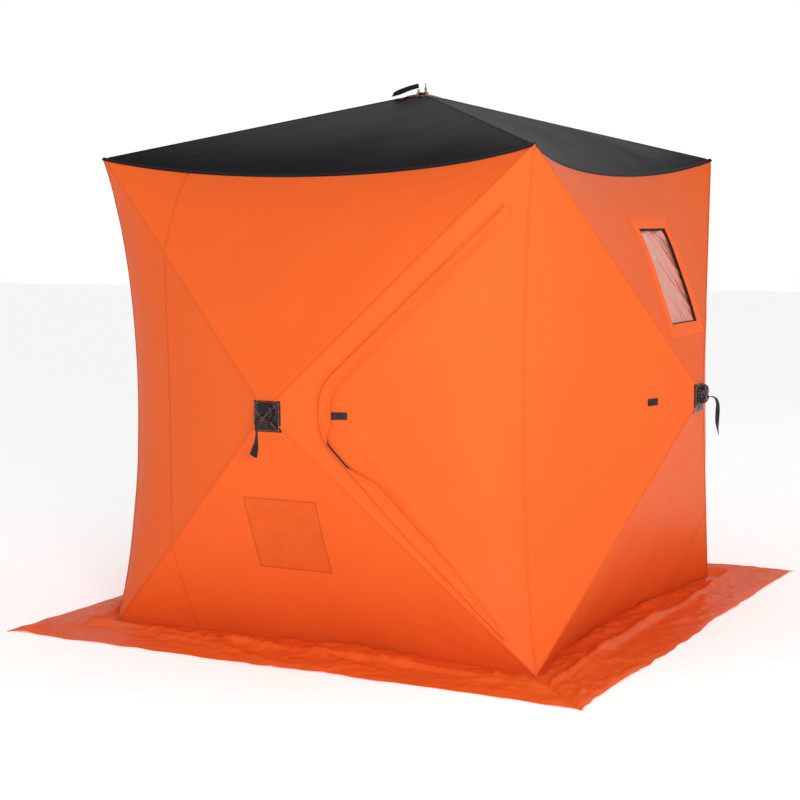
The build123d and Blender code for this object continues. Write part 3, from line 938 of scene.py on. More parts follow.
class Maker:
    """Makes mesh pieces and hands them to the frame."""

    def __init__(self) -> None:
        """Starts with no pieces."""
        self.made: list[str] = []

    def mesh(
        self, name: str, points: np.ndarray, faces: list, flat: np.ndarray | None = None
    ) -> bpy.types.Object:
        """A piece from points and faces.

        Args:
            name: the piece's name.
            points: N by 3 points in metres.
            faces: corner numbers of each face, facing outward.
            flat: N by 2 positions on the cloth, in metres, for its map.

        Returns:
            The new object, smooth shaded.
        """
        mesh = bpy.data.meshes.new(name)
        mesh.from_pydata(np.asarray(points).tolist(), [], [tuple(int(i) for i in f) for f in faces])
        mesh.update()
        if flat is not None:
            layer = mesh.uv_layers.new(name="cloth")
            corner = np.zeros(len(mesh.loops), int)
            mesh.loops.foreach_get("vertex_index", corner)
            layer.data.foreach_set("uv", np.asarray(flat)[corner].astype(np.float32).ravel())
        mesh.polygons.foreach_set("use_smooth", [True] * len(mesh.polygons))
        piece = bpy.data.objects.new(name, mesh)
        bpy.context.scene.collection.objects.link(piece)
        return piece

    @staticmethod
    def crisp_rim(piece: bpy.types.Object) -> None:
        """Marks a cloth's border as sharp, so that its rim doesn't tilt the shading of its face."""
        faces_at = np.zeros(len(piece.data.edges), int)
        edge_of = np.zeros(len(piece.data.loops), int)
        piece.data.loops.foreach_get("edge_index", edge_of)
        np.add.at(faces_at, edge_of, 1)
        for edge in np.flatnonzero(faces_at == 1):
            piece.data.edges[int(edge)].use_edge_sharp = True

    def finish(
        self,
        piece: bpy.types.Object,
        material: bpy.types.Material,
        slot: str,
        follow: Follow,
        shares: np.ndarray | None = None,
        thickness: float = 0.0,
        replaces: tuple[str, ...] = (),
    ) -> bpy.types.Object:
        """Dresses a piece and ties it to its body.

        Args:
            piece: the mesh piece, in place.
            material: its finish.
            slot: the record's slot it stands for; not used.
            follow: the body or bodies it moves with.
            shares: how far each point follows the second body, where it bends between two.
            thickness: how thick the cloth is, below its outer face.
            replaces: CAD nodes it stands for.

        Returns:
            The piece.
        """
        piece.data.materials.append(material)
        if follow.other is None:
            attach(piece, follow.body)
        else:
            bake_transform(piece, follow.body, follow.other, start=follow.start, end=follow.end)
            if shares is not None:
                weights = piece.data.attributes["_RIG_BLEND"]
                weights.data.foreach_set("value", np.asarray(shares, np.float32))
        if thickness:
            self.crisp_rim(piece)
            wall = piece.modifiers.new("thickness", "SOLIDIFY")
            wall.thickness = thickness
            wall.offset = -1.0
        if replaces:
            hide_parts(*replaces)
        self.made.append(piece.name)
        log.info("%s: %d faces", piece.name, len(piece.data.polygons))
        return piece


def bends(path: np.ndarray) -> np.ndarray:
    """The points of a path where it turns, and its two ends."""
    kept = [path[0]]
    for a, b, c in zip(path, path[1:], path[2:]):
        into, away = (b - a) / np.linalg.norm(b - a), (c - b) / np.linalg.norm(c - b)
        if abs(into[0] * away[1] - into[1] * away[0]) > 0.01:
            kept.append(b)
    return np.array([*kept, path[-1]])


def unit_grid(cells: int) -> tuple[np.ndarray, np.ndarray]:
    """Both coordinates of a square grid from -0.5 to 0.5."""
    step = np.linspace(-0.5, 0.5, cells + 1)
    return np.meshgrid(step, step, indexing="ij")


def strip_faces(stations: int, rows: int) -> list[tuple[int, int, int, int]]:
    """Faces of a strip of stations by rows, facing up when rows run to the left of the way."""
    faces = []
    for a in range(stations - 1):
        for b in range(rows - 1):
            k = a * rows + b
            faces.append((k, k + rows, k + rows + 1, k + 1))
    return faces


def walk(points: list[tuple[float, float]], step: float, radius: float = 0.0) -> np.ndarray:
    """Even stations along a flat path, its corners rounded.

    Args:
        points: the path's corners.
        step: distance between stations.
        radius: how much each corner is rounded.

    Returns:
        N by 2 stations.
    """
    corners = [np.array(p, float) for p in points]
    dense = [corners[0]]
    for a, b, c in zip(corners, corners[1:], corners[2:]):
        into, away = (b - a) / np.linalg.norm(b - a), (c - b) / np.linalg.norm(c - b)
        turn = math.acos(float(np.clip(into @ away, -1, 1)))
        cut = min(radius * math.tan(turn / 2), 0.49 * np.linalg.norm(b - a), 0.49 * np.linalg.norm(c - b))
        if cut > 1e-6:
            first, last = b - into * cut, b + away * cut
            for t in np.linspace(0, 1, 13):
                dense.append((1 - t) ** 2 * first + 2 * t * (1 - t) * b + t**2 * last)
        else:
            dense.append(b)
    dense.append(corners[-1])
    dense = np.array(dense)
    run = np.concatenate([[0], np.cumsum(np.linalg.norm(np.diff(dense, axis=0), axis=1))])
    count = max(int(run[-1] / step), 2) + 1
    where = np.linspace(0, run[-1], count)
    return np.stack([np.interp(where, run, dense[:, k]) for k in range(2)], axis=1)


@dataclass
class Tape:
    """A narrow strip of cloth laid along a path on a side."""

    name: str
    path: np.ndarray
    width: float
    lift: float = 0.0012
    crown: float = 0.0008
    rows: int = 5

    def build(self, maker: Maker, cloth: SideCloth) -> tuple[bpy.types.Object, np.ndarray, np.ndarray]:
        """Lays the tape on the cloth.

        Args:
            maker: makes the mesh.
            cloth: the side it lies on.

        Returns:
            The piece, its hub shares and its lean shares.
        """
        points, flat, hub, lean = self.laid(cloth)
        piece = maker.mesh(self.name, cloth.frame.world(points), strip_faces(len(self.path), self.rows), flat)
        return piece, hub, lean

    def laid(self, cloth: SideCloth) -> tuple[np.ndarray, np.ndarray, np.ndarray, np.ndarray]:
        """The tape's points in the side's frame, its map and its shares.

        Args:
            cloth: the side it lies on.

        Returns:
            Points, map, hub shares and lean shares.
        """
        way = np.gradient(self.path, axis=0)
        way /= np.linalg.norm(way, axis=1, keepdims=True)
        left = np.stack([-way[:, 1], way[:, 0]], axis=1)
        across = np.linspace(-self.width / 2, self.width / 2, self.rows)
        flat = (self.path[:, None, :] + left[:, None, :] * across[None, :, None]).reshape(-1, 2)
        bulge = self.lift + self.crown * (1 - (2 * across / self.width) ** 2)
        points, hub, lean = cloth.lay(flat, np.tile(bulge, len(self.path)))
        run = np.concatenate([[0], np.cumsum(np.linalg.norm(np.diff(self.path, axis=0), axis=1))])
        chart = np.stack([np.repeat(run, self.rows), np.tile(across, len(self.path))], axis=1)
        return points, chart, hub, lean


def joined(parts: list[tuple[np.ndarray, np.ndarray, np.ndarray, np.ndarray]], rows: int) -> tuple:
    """Several laid strips as one: points, map, hub shares, lean shares and faces.

    Args:
        parts: points, map, hub shares and lean shares of each strip.
        rows: points across each strip.

    Returns:
        The joined points, map, hub shares, lean shares and faces.
    """
    faces, start = [], 0
    for part in parts:
        stations = len(part[0]) // rows
        faces += [tuple(i + start for i in f) for f in strip_faces(stations, rows)]
        start += len(part[0])
    return (*(np.concatenate([p[k] for p in parts]) for k in range(4)), faces)


# --------------------------------------------------------------------------- walls and roof
class Envelope:
    """The tensioned cloth of all five sides."""

    seam_start = 0.035
    seam_end = 0.985

    def __init__(self, sizes: ShelterSizes, frames: dict[Side, SideFrame]) -> None:
        """Balances the cloth of each side.

        Args:
            sizes: the shelter's sizes.
            frames: each side's frame.
        """
        self.sizes = sizes
        self.frames = frames
        half, reach, lift = sizes.half, sizes.wall_reach, sizes.roof_reach
        upper, lower = sizes.eave - sizes.hub_height, sizes.hub_height - 0.004
        stiff, tape = sizes.seam_stiffness, sizes.seam_tape_pull
        self.corner_grid = TensionedBay(
            (half, upper, 0), (0, 0, reach), (half + reach, 0, -half), (half, -lower, 0), stiff, tape
        ).solve()
        self.eave_grid = TensionedBay(
            (-half, upper, 0), (0, 0, reach), (0, upper + lift, -half), (half, upper, 0), stiff, tape
        ).solve()
        self.roof_grid = TensionedBay(
            (-half, -half, 0), (0, 0, lift), (0, -half - reach, -upper), (half, -half, 0), stiff, tape
        ).solve()
        self.ground_grid = TensionedBay(
            (-half, -lower, 0), (0, 0, reach), (0, -2 * lower, reach), (half, -lower, 0),
            0.6, 0, sizes.ground_bow,
        ).solve()
        self.sides = {side: self.side_cloth(side, k) for k, side in enumerate(Side)}

    def side_cloth(self, side: Side, number: int) -> SideCloth:
        """One side's four bays, each with wrinkles of its own.

        Args:
            side: which side.
            number: its place in order, which seeds its wrinkles.

        Returns:
            The side's cloth.
        """
        frame_ = self.frames[side]
        seed = 40 + 10 * number
        if side is Side.ROOF:
            bays = {}
            for k, bay in enumerate((Bay.BOTTOM, Bay.RIGHT, Bay.TOP, Bay.LEFT)):
                wrinkles = Wrinkles(seed + k, 0.003, 0.003)
                cloth = BayCloth.from_grid(self.roof_grid, frame_.reach, frame_.travel, wrinkles)
                bays[bay] = cloth.turned(k)
            return SideCloth(frame_, bays)
        grids = {Bay.TOP: self.eave_grid, Bay.BOTTOM: self.ground_grid, Bay.RIGHT: self.corner_grid}
        bays = {}
        for k, (bay, grid) in enumerate(grids.items()):
            bays[bay] = BayCloth.from_grid(grid, frame_.reach, frame_.travel, Wrinkles(seed + k))
        left = BayCloth.from_grid(self.corner_grid, frame_.reach, frame_.travel, Wrinkles(seed + 7))
        bays[Bay.LEFT] = left.mirrored()
        return SideCloth(frame_, bays)

    def hub_follow(self, side: Side) -> Follow:
        """How a side's cloth bends between the corners and its hub."""
        frame_ = self.frames[side]
        base, peak = frame_.world(np.array([[0.0, 0, 0], [0, 0, frame_.reach]]))
        return Follow("root", frame_.hub_body, tuple(base), tuple(peak))

    def dress(self, maker: Maker, wardrobe: Wardrobe, skipped: dict[Side, Bay]) -> None:
        """Makes every plain bay, and the seams over the poles.

        Args:
            maker: makes the pieces.
            wardrobe: the finishes.
            skipped: the bay of a side that another class makes.
        """
        nodes = {
            Side.FRONT: "front_wall", Side.RIGHT: "right_wall", Side.BACK: "back_wall",
            Side.LEFT: "left_wall", Side.ROOF: "roof_cloth",
        }
        for side, cloth in self.sides.items():
            on_roof = side is Side.ROOF
            for bay, part in cloth.bays.items():
                if skipped.get(side) is bay:
                    continue
                finish = wardrobe.roof if on_roof else wardrobe.wall
                # the bottom front bay takes the cloth with the pocket's painted shade
                if side is Side.FRONT and bay is Bay.BOTTOM:
                    finish = wardrobe.pocket_shade_wall
                name = f"{side.value}_cloth_{bay.value}"
                piece = maker.mesh(name, cloth.frame.world(part.points), part.faces, part.points[:, :2])
                maker.finish(
                    piece, finish, "roof_fabric" if on_roof else "wall_fabric", self.hub_follow(side),
                    part.hub_share, CLOTH_THICKNESS, (nodes[side],),
                )
            self.ridge_seams(maker, wardrobe, side)

    def ridge_seams(self, maker: Maker, wardrobe: Wardrobe, side: Side) -> None:
        """The taped seams over a side's four poles.

        Args:
            maker: makes the pieces.
            wardrobe: the finishes.
            side: which side.
        """
        cloth = self.sides[side]
        high = self.sizes.half if side is Side.ROOF else self.sizes.eave - self.sizes.hub_height
        low = self.sizes.half if side is Side.ROOF else self.sizes.hub_height - 0.006
        parts = []
        for x, y in ((1, high), (-1, high), (-1, -low), (1, -low)):
            corner = np.array([x * (self.sizes.half - 0.004), y])
            path = walk([corner * self.seam_start, corner * self.seam_end], 0.016)
            parts.append(Tape("", path, 0.011, 0.0006, 0.0012).laid(cloth))
        points, chart, hub, _, faces = joined(parts, 5)
        piece = maker.mesh(f"{side.value}_ridge_seams", cloth.frame.world(points), faces, chart)
        on_roof = side is Side.ROOF
        maker.finish(
            piece, wardrobe.roof_seam if on_roof else wardrobe.seam,
            "roof_fabric" if on_roof else "wall_fabric", self.hub_follow(side), hub,
        )


class EdgeSeams:
    """The seams where two sides meet, and the roof's black binding."""

    def __init__(self, envelope: Envelope) -> None:
        """Keeps the balanced cloth that the seams follow."""
        self.envelope = envelope

    def seam(
        self, grid: np.ndarray, width: float, lift: float, crown: float
    ) -> tuple[np.ndarray, np.ndarray]:
        """A tape along a grid's diagonal.

        Args:
            grid: a solved grid.
            width: the tape's width.
            lift: its edges' height above the cloth.
            crown: its extra height in the middle.

        Returns:
            Points, five to a station, and their map.
        """
        n = grid.shape[0] - 1
        middle = grid[np.arange(n + 1), np.arange(n + 1)]
        ahead = np.gradient(middle, axis=0)
        side = np.zeros_like(middle)
        after, before = np.arange(2, n + 1), np.arange(0, n - 1)
        side[1:-1] = grid[after, before] - grid[before, after]
        side[0], side[-1] = side[1], side[-2]
        side /= np.linalg.norm(side, axis=1, keepdims=True)
        out = np.cross(ahead, side)
        out /= np.linalg.norm(out, axis=1, keepdims=True)
        if out[n // 2, 2] < 0:
            out = -out
        across = np.linspace(-width / 2, width / 2, 5)
        bulge = lift + crown * (1 - (2 * across / width) ** 2)
        points = middle[:, None, :] + side[:, None, :] * across[None, :, None]
        points = points + out[:, None, :] * bulge[None, :, None]
        run = np.concatenate([[0], np.cumsum(np.linalg.norm(np.diff(middle, axis=0), axis=1))])
        chart = np.stack([np.repeat(run, 5), np.tile(across, n + 1)], axis=1)
        return points.reshape(-1, 3), chart

    def dress(self, maker: Maker, wardrobe: Wardrobe) -> None:
        """Makes the four corner seams and the four eave bindings.

        Args:
            maker: makes the pieces.
            wardrobe: the finishes.
        """
        shell = self.envelope
        kinds = (
            ("corner_seams", shell.corner_grid, 0.009, 0.0004, 0.0016, wardrobe.seam, "wall_fabric"),
            ("eave_binding", shell.eave_grid, 0.016, 0.001, 0.0024, wardrobe.roof_seam, "roof_fabric"),
        )
        for name, grid, width, lift, crown, finish, slot in kinds:
            points, chart = self.seam(grid, width, lift, crown)
            faces = strip_faces(len(points) // 5, 5)
            a, b, c = (points[faces[len(faces) // 2][k]] for k in range(3))
            if np.cross(b - a, c - a)[2] < 0:
                faces = [tuple(reversed(f)) for f in faces]
            whole, charts, all_faces, start = [], [], [], 0
            for side in (Side.FRONT, Side.RIGHT, Side.BACK, Side.LEFT):
                whole.append(self.envelope.frames[side].world(points))
                charts.append(chart)
                all_faces += [tuple(i + start for i in f) for f in faces]
                start += len(points)
            piece = maker.mesh(name, np.concatenate(whole), all_faces, np.concatenate(charts))
            maker.finish(piece, finish, slot, Follow("root"))


# --------------------------------------------------------------------------- cut cloth
class CutCloth:
    """A bay's cloth that is cut along lines and taken apart."""

    def __init__(self, bay: BayCloth) -> None:
        """Starts with the whole bay.

        Args:
            bay: the cloth to cut.
        """
        self.mesh = bmesh.new()
        self.hub = self.mesh.verts.layers.float.new("hub")
        self.lean = self.mesh.verts.layers.float.new("lean")
        verts = [self.mesh.verts.new(p) for p in bay.points]
        for vert, hub, lean in zip(verts, bay.hub_share, bay.lean_share):
            vert[self.hub], vert[self.lean] = float(hub), float(lean)
        for face in bay.faces:
            self.mesh.faces.new([verts[i] for i in face])

    def cut(self, path: np.ndarray) -> None:
        """Cuts along a flat path, square through the side's plane.

        Args:
            path: N by 2 points across and up.
        """
        path = bends(path)
        for a, b in zip(path, path[1:]):
            middle, reach = Vector(((a + b) / 2).tolist()), float(np.linalg.norm(b - a)) / 2 + 0.03
            near = [f for f in self.mesh.faces if (f.calc_center_median().xy - middle).length < reach]
            edges = {e for f in near for e in f.edges}
            verts = {v for f in near for v in f.verts}
            normal = (b[1] - a[1], a[0] - b[0], 0.0)
            bmesh.ops.bisect_plane(
                self.mesh, geom=[*near, *edges, *verts], dist=1e-5, plane_co=(*a, 0.0), plane_no=normal
            )

    def take(self, outline: np.ndarray, inside: bool, way: int = 0) -> BayCloth:
        """The cloth inside or outside a closed outline.

        Args:
            outline: N by 2 points across and up.
            inside: which of the two is taken.
            way: 1 for only what is above the hub, -1 for only what is below, 0 for both.

        Returns:
            That part of the cloth.
        """
        number, points, hub, lean, faces = {}, [], [], [], []
        for face in self.mesh.faces:
            middle = face.calc_center_median()
            if encloses(outline, middle) != inside or middle.y * way < 0:
                continue
            corners = []
            for vert in face.verts:
                if vert not in number:
                    number[vert] = len(points)
                    points.append(vert.co[:])
                    hub.append(vert[self.hub])
                    lean.append(vert[self.lean])
                corners.append(number[vert])
            faces.append(tuple(corners))
        return BayCloth(np.array(points), faces, np.array(hub), np.array(lean))


def encloses(outline: np.ndarray, point: Vector) -> bool:
    """Whether a closed outline has a point inside it."""
    x, y, inside = point[0], point[1], False
    for (ax, ay), (bx, by) in zip(outline, np.roll(outline, -1, axis=0)):
        if (ay > y) != (by > y) and x < (bx - ax) * (y - ay) / (by - ay) + ax:
            inside = not inside
    return inside


def away_from(path: np.ndarray, flat: np.ndarray) -> np.ndarray:
    """Distance of each flat point from the nearest of a path's points."""
    return np.min(np.linalg.norm(flat[:, None, :] - path[None, :, :], axis=2), axis=1)


# --------------------------------------------------------------------------- hard pieces
def rounded_box(
    name: str, size: tuple[float, float, float], place: Matrix, round_by: float
) -> bpy.types.Object:
    """A box with rounded edges, moved into place in its mesh.

    Args:
        name: the piece's name.
        size: its three sides.
        place: where its middle goes.
        round_by: radius of its edges.

    Returns:
        The new object, at the origin.
    """
    bpy.ops.object.select_all(action="DESELECT")
    bpy.ops.mesh.primitive_cube_add(size=1.0)
    piece = bpy.context.object
    piece.name = name
    piece.scale = size
    bpy.ops.object.transform_apply(location=False, rotation=False, scale=True)
    bevel = piece.modifiers.new("edges", "BEVEL")
    bevel.width = round_by
    bevel.segments = 3
    bpy.ops.object.modifier_apply(modifier=bevel.name)
    bpy.ops.object.shade_smooth()
    piece.data.transform(place)
    return piece


# --------------------------------------------------------------------------- door
@dataclass
class Door:
    """The zipped leaf beside the corner, its storm flap, its zip and its tab.

    Each soft fold is where it starts and ends, its height and its spread. Each place on the flap is
    its width and how far its free edge lifts, and from the nose on how far along it is as well.
    """

    envelope: Envelope
    fold: float = 0.79
    ridge_drop: float = 0.098
    nose: float = 0.183
    nose_radius: float = 0.19
    pinch: tuple[float, float] = (0.47, 0.045)
    foot: tuple[float, float] = (0.868, 0.014)
    zip_inset: float = 0.006
    edge: float = 0.868
    coil_width: float = 0.007
    zip_cover: float = 0.0048
    slider_at: float = 0.278
    slider_lift: float = 0.0026
    soft_folds: tuple[tuple, ...] = (
        ((0.282, -0.055), (0.62, -0.50), 0.012, 0.010),
        ((0.250, -0.075), (0.42, -0.32), 0.009, 0.007),
        ((0.28, -0.09), (0.80, -0.30), 0.004, 0.03),
        ((0.27, 0.06), (0.62, 0.36), 0.003, 0.02),
    )
    flap_top: tuple[float, float] = (0.034, 0.004)
    flap_quarter: tuple[float, float] = (0.036, 0.007)
    flap_from_nose: tuple[tuple[float, float, float], ...] = (
        (-0.12, 0.042, 0.009), (0.0, 0.048, 0.012), (0.05, 0.044, 0.018), (0.12, 0.009, 0.004),
        (0.22, 0.009, 0.003), (0.32, 0.046, 0.012), (0.6, 0.050, 0.008),
    )
    flap_foot: tuple[float, float] = (0.016, 0.002)
    flap_rows: int = 15

    def __post_init__(self) -> None:
        """Finds the sides and the bodies that the door hangs on."""
        self.cloth = self.envelope.sides[Side.FRONT]
        seam = self.envelope.frames[Side.FRONT].world(np.array([[0.9, 0.0, 0.0], [0.8, 0.0, 0.0]]))
        self.follow = Follow("root", "front_door_side_body", tuple(seam[0]), tuple(seam[1]))

    def line(self, inset: float, far: float, step: float = 0.008) -> np.ndarray:
        """The zip's line, or one inside it, from the top corner round the nose to the bottom corner.

        Args:
            inset: how far inside the sewn line it runs.
            far: how far across it starts and ends.
            step: distance between its points.

        Returns:
            N by 2 points.
        """
        slant, nose = inset * math.sqrt(2), self.nose + inset
        drop = self.ridge_drop + slant
        pinch, reached = np.interp((self.pinch[0], far), *zip(self.pinch, self.foot)) + slant
        lower = [(self.pinch[0], pinch - self.pinch[0]), (far, reached - far)]
        corners = [(far, far - drop), (nose, nose - drop), (nose, drop - nose), *lower]
        return walk(corners, step, self.nose_radius - inset)

    def share_cloth(self) -> BayCloth:
        """The door's bay, carried whole from its fold line on."""
        bay = self.cloth.bays[Bay.RIGHT]
        seam = np.array([bay.points[k] for k in range(len(bay.points)) if bay.hub_share[k] < 1e-6])
        seam = seam[np.argsort(seam[:, 1])]
        edge = np.interp(bay.points[:, 1], seam[:, 1], seam[:, 0])
        held = smoothstep((edge - bay.points[:, 0]) / np.maximum(edge - self.fold, 0.02))
        return BayCloth(bay.points, bay.faces, bay.hub_share, np.maximum(bay.lean_share, held))

    def dress(self, maker: Maker, wardrobe: Wardrobe) -> None:
        """Makes the surround, the leaf, the flap, the zip, its sliders and the tab.

        Args:
            maker: makes the pieces.
            wardrobe: the finishes.
        """
        bay = self.share_cloth()
        self.cloth = SideCloth(self.cloth.frame, {**self.cloth.bays, Bay.RIGHT: bay})
        cutting = CutCloth(bay)
        line = self.line(self.zip_inset, self.fold)
        cutting.cut(line)
        cutting.cut(np.array([line[-1], line[0]]))
        cutting.cut(np.array([(0.0, 0.0), (self.nose, 0.0)]))
        cutting.cut(np.array([(self.fold, 0.0), (self.envelope.sizes.half, 0.0)]))
        for name, way in (("upper", 1), ("lower", -1)):
            limb = cutting.take(line, False, way)
            spots = self.cloth.frame.world(limb.points)
            piece = maker.mesh(f"door_surround_{name}", spots, limb.faces, limb.points[:, :2])
            maker.finish(
                piece, wardrobe.wall, "wall_fabric", self.follow, limb.lean_share, CLOTH_THICKNESS,
                ("front_wall", "front_wall_door_side"),
            )
        leaf = cutting.take(line, True)
        self.dress_leaf(maker, wardrobe, leaf)
        self.dress_zip(maker, wardrobe)
        self.dress_flap(maker, wardrobe)
        self.dress_tab(maker, wardrobe)

    def dress_leaf(self, maker: Maker, wardrobe: Wardrobe, leaf: BayCloth) -> None:
        """The leaf, with the soft folds that hang from its nose.

        Args:
            maker: makes the pieces.
            wardrobe: the finishes.
            leaf: the cloth inside the zip.
        """
        points, noise = leaf.points.copy(), SmoothNoise(71)
        inside = smoothstep((away_from(self.line(self.zip_inset, self.edge), points[:, :2]) - 0.004) / 0.03)
        for start, end, height, spread in self.soft_folds:
            a, b = np.array(start), np.array(end)
            along = (points[:, :2] - a) @ (b - a) / ((b - a) @ (b - a))
            off = np.linalg.norm(points[:, :2] - a - np.clip(along, 0, 1)[:, None] * (b - a), axis=1)
            wave = 1 + 0.5 * (noise.at(along * 6, along * 0 + 4) - 0.5)
            fading = 1 - np.clip(along, 0, 1)
            points[:, 2] += height * wave * np.exp(-((off / spread) ** 2)) * fading * inside
        piece = maker.mesh("door_leaf", self.cloth.frame.world(points), leaf.faces, points[:, :2])
        shares = smoothstep((self.fold - points[:, 0]) / 0.09)
        pivot = self.cloth.frame.world(np.array([[self.fold, 0.0, 0.016], [self.fold - 0.09, 0.0, 0.03]]))
        follow = Follow("front_door_side_body", "door_body", tuple(pivot[0]), tuple(pivot[1]))
        maker.finish(piece, wardrobe.wall, "wall_fabric", follow, shares, CLOTH_THICKNESS, ("door_panel",))

    def dress_zip(self, maker: Maker, wardrobe: Wardrobe) -> None:
        """The zip's tape and coil under the flap, and its two sliders.

        Args:
            maker: makes the pieces.
            wardrobe: the finishes.
        """
        line = self.line(self.zip_inset, self.fold - 0.03)
        for name, width, lift, crown, finish in (
            ("zip_tape_strip", 0.024, 0.0008, 0.0004, wardrobe.zip_tape),
            ("zip_coil", self.coil_width, 0.0014, 0.0016, wardrobe.zip_coil),
        ):
            tape = Tape(name, line, width, lift, crown, 5)
            piece, _, lean = tape.build(maker, self.cloth)
            maker.finish(piece, finish, "zip_tape", self.follow, lean, replaces=("door_zip",))
        middle = len(line) // 2
        for name, half, rise in (("upper", line[:middle], 1), ("lower", line[middle:], -1)):
            place = half[np.argmin(np.abs(half[:, 0] - self.slider_at))]
            ahead = place + np.array([0.02, 0.02 * rise])
            laid, _, _ = self.cloth.lay(np.array([place, ahead]), self.slider_lift)
            first, second = (Vector(p) for p in self.cloth.frame.world(laid))
            along = (second - first).normalized()
            side = Vector(self.cloth.frame.out).cross(along).normalized()
            turn = Matrix((along, side, along.cross(side))).transposed().to_4x4()
            seat = Matrix.Translation(first) @ turn
            body = rounded_box(f"zip_{name}_slider", (0.016, 0.0105, 0.0044), seat, 0.0018)
            pull = seat @ Matrix.Translation((0.014, 0, 0.0020))
            tag = rounded_box(f"zip_{name}_slider_pull", (0.022, 0.0056, 0.0014), pull, 0.0005)
            for piece in (body, tag):
                maker.finish(
                    piece, wardrobe.plated, "slider_metal", Follow(f"zip_slider_{name}_body"),
                    replaces=(f"zip_slider_{name}",),
                )

    def dress_flap(self, maker: Maker, wardrobe: Wardrobe) -> None:
        """The storm flap: sewn along its outer line, free and lifting along its inner one.

        Args:
            maker: makes the pieces.
            wardrobe: the finishes.
        """
        line, rows, noise = self.line(-0.004, self.fold + 0.004, 0.006), self.flap_rows, SmoothNoise(83)
        run = np.concatenate([[0], np.cumsum(np.linalg.norm(np.diff(line, axis=0), axis=1))])
        nose = run[np.argmin(np.abs(line[:, 1]))]
        course = np.array(self.flap_from_nose)
        marks = np.concatenate([[0, 0.25 * nose], nose + course[:, 0], [run[-1]]])
        shape = np.vstack([self.flap_top, self.flap_quarter, course[:, 1:], self.flap_foot])
        width, free = (np.interp(run, marks, shape[:, k]) for k in range(2))
        free *= 0.7 + 0.8 * noise.at(run * 14, run * 0)
        width *= 1 + 0.10 * (noise.at(run * 17, run * 0 + 5) - 0.5)
        way = np.gradient(line, axis=0)
        way /= np.linalg.norm(way, axis=1, keepdims=True)
        inward = np.stack([-way[:, 1], way[:, 0]], axis=1)
        across = np.linspace(0, 1, rows) ** 1.4
        flat = line[:, None, :] + inward[:, None, :] * (width[:, None] * across[None, :])[..., None]
        over_zip = self.zip_cover * smoothstep(width[:, None] * across[None, :] / 0.007)
        roll = np.exp(-(((across - 0.93) / 0.06) ** 2)) * 0.0024
        lift = 0.0009 + over_zip + free[:, None] * across[None, :] ** 1.6 + roll[None, :]
        r_, a_ = np.meshgrid(run, across, indexing="ij")
        pucker = noise.ridged(r_ * 46 + a_ * 3, a_ * 1.5 + 11)
        lift += 0.0052 * pucker * np.clip(a_ * 7, 0, 1) * (1.1 - a_)
        lift += 0.0040 * (noise.at(r_ * 19 - a_ * 3, a_ * 3 + 31) - 0.35) * a_
        points, _, lean = self.cloth.lay(flat.reshape(-1, 2), np.maximum(lift, 0.001).ravel())
        chart = np.stack([np.repeat(run, rows), (a_ * width[:, None]).ravel()], axis=1)
        faces = strip_faces(len(line), rows)
        piece = maker.mesh("door_storm_flap", self.cloth.frame.world(points), faces, chart)
        maker.finish(piece, wardrobe.flap, "wall_fabric", self.follow, lean, 0.001)
        sewn = Tape("door_flap_seam", line - inward * 0.004, 0.007, 0.0009, 0.0014)
        seam, _, lean = sewn.build(maker, self.cloth)
        maker.finish(seam, wardrobe.seam, "wall_fabric", self.follow, lean)

    def dress_tab(self, maker: Maker, wardrobe: Wardrobe) -> None:
        """The hook-and-loop tab on the leaf, beside the flap's free edge."""
        low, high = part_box("door_tab")
        centre = ((low.x + high.x) / 2, (low.z + high.z) / 2 - self.envelope.sizes.hub_height)
        size = (high.x - low.x, high.z - low.z)
        points, chart, _, _, faces = patch(self.cloth, centre, size, 0.006, 0.0012, 5)
        piece = maker.mesh("door_leaf_tab", self.cloth.frame.world(points), faces, chart)
        maker.finish(
            piece, wardrobe.tab, "hook_and_loop", Follow("door_body"), thickness=0.003, replaces=("door_tab",)
        )


def patch(
    cloth: SideCloth,
    centre: tuple[float, float],
    size: tuple[float, float],
    lift: float,
    ripple: float,
    seed: int,
    cells: int = 20,
) -> tuple[np.ndarray, np.ndarray, np.ndarray, np.ndarray, list]:
    """A rectangle of cloth laid on a side.

    Args:
        cloth: the side it lies on.
        centre: its middle, across and up.
        size: its width and height.
        lift: its height above the cloth.
        ripple: how uneven it lies.
        seed: seeds its unevenness.
        cells: how finely it is divided.

    Returns:
        Points, map, hub shares, lean shares and faces.
    """
    noise = SmoothNoise(seed)
    u, v = unit_grid(cells)
    x, y = centre[0] + u * size[0], centre[1] + v * size[1]
    height = lift + ripple * (noise.at(x * 60 + 9, y * 60 + 9) - 0.5)
    flat = np.stack([x, y], axis=2).reshape(-1, 2)
    points, hub, lean = cloth.lay(flat, height.ravel())
    return points, flat, hub, lean, strip_faces(cells + 1, cells + 1)


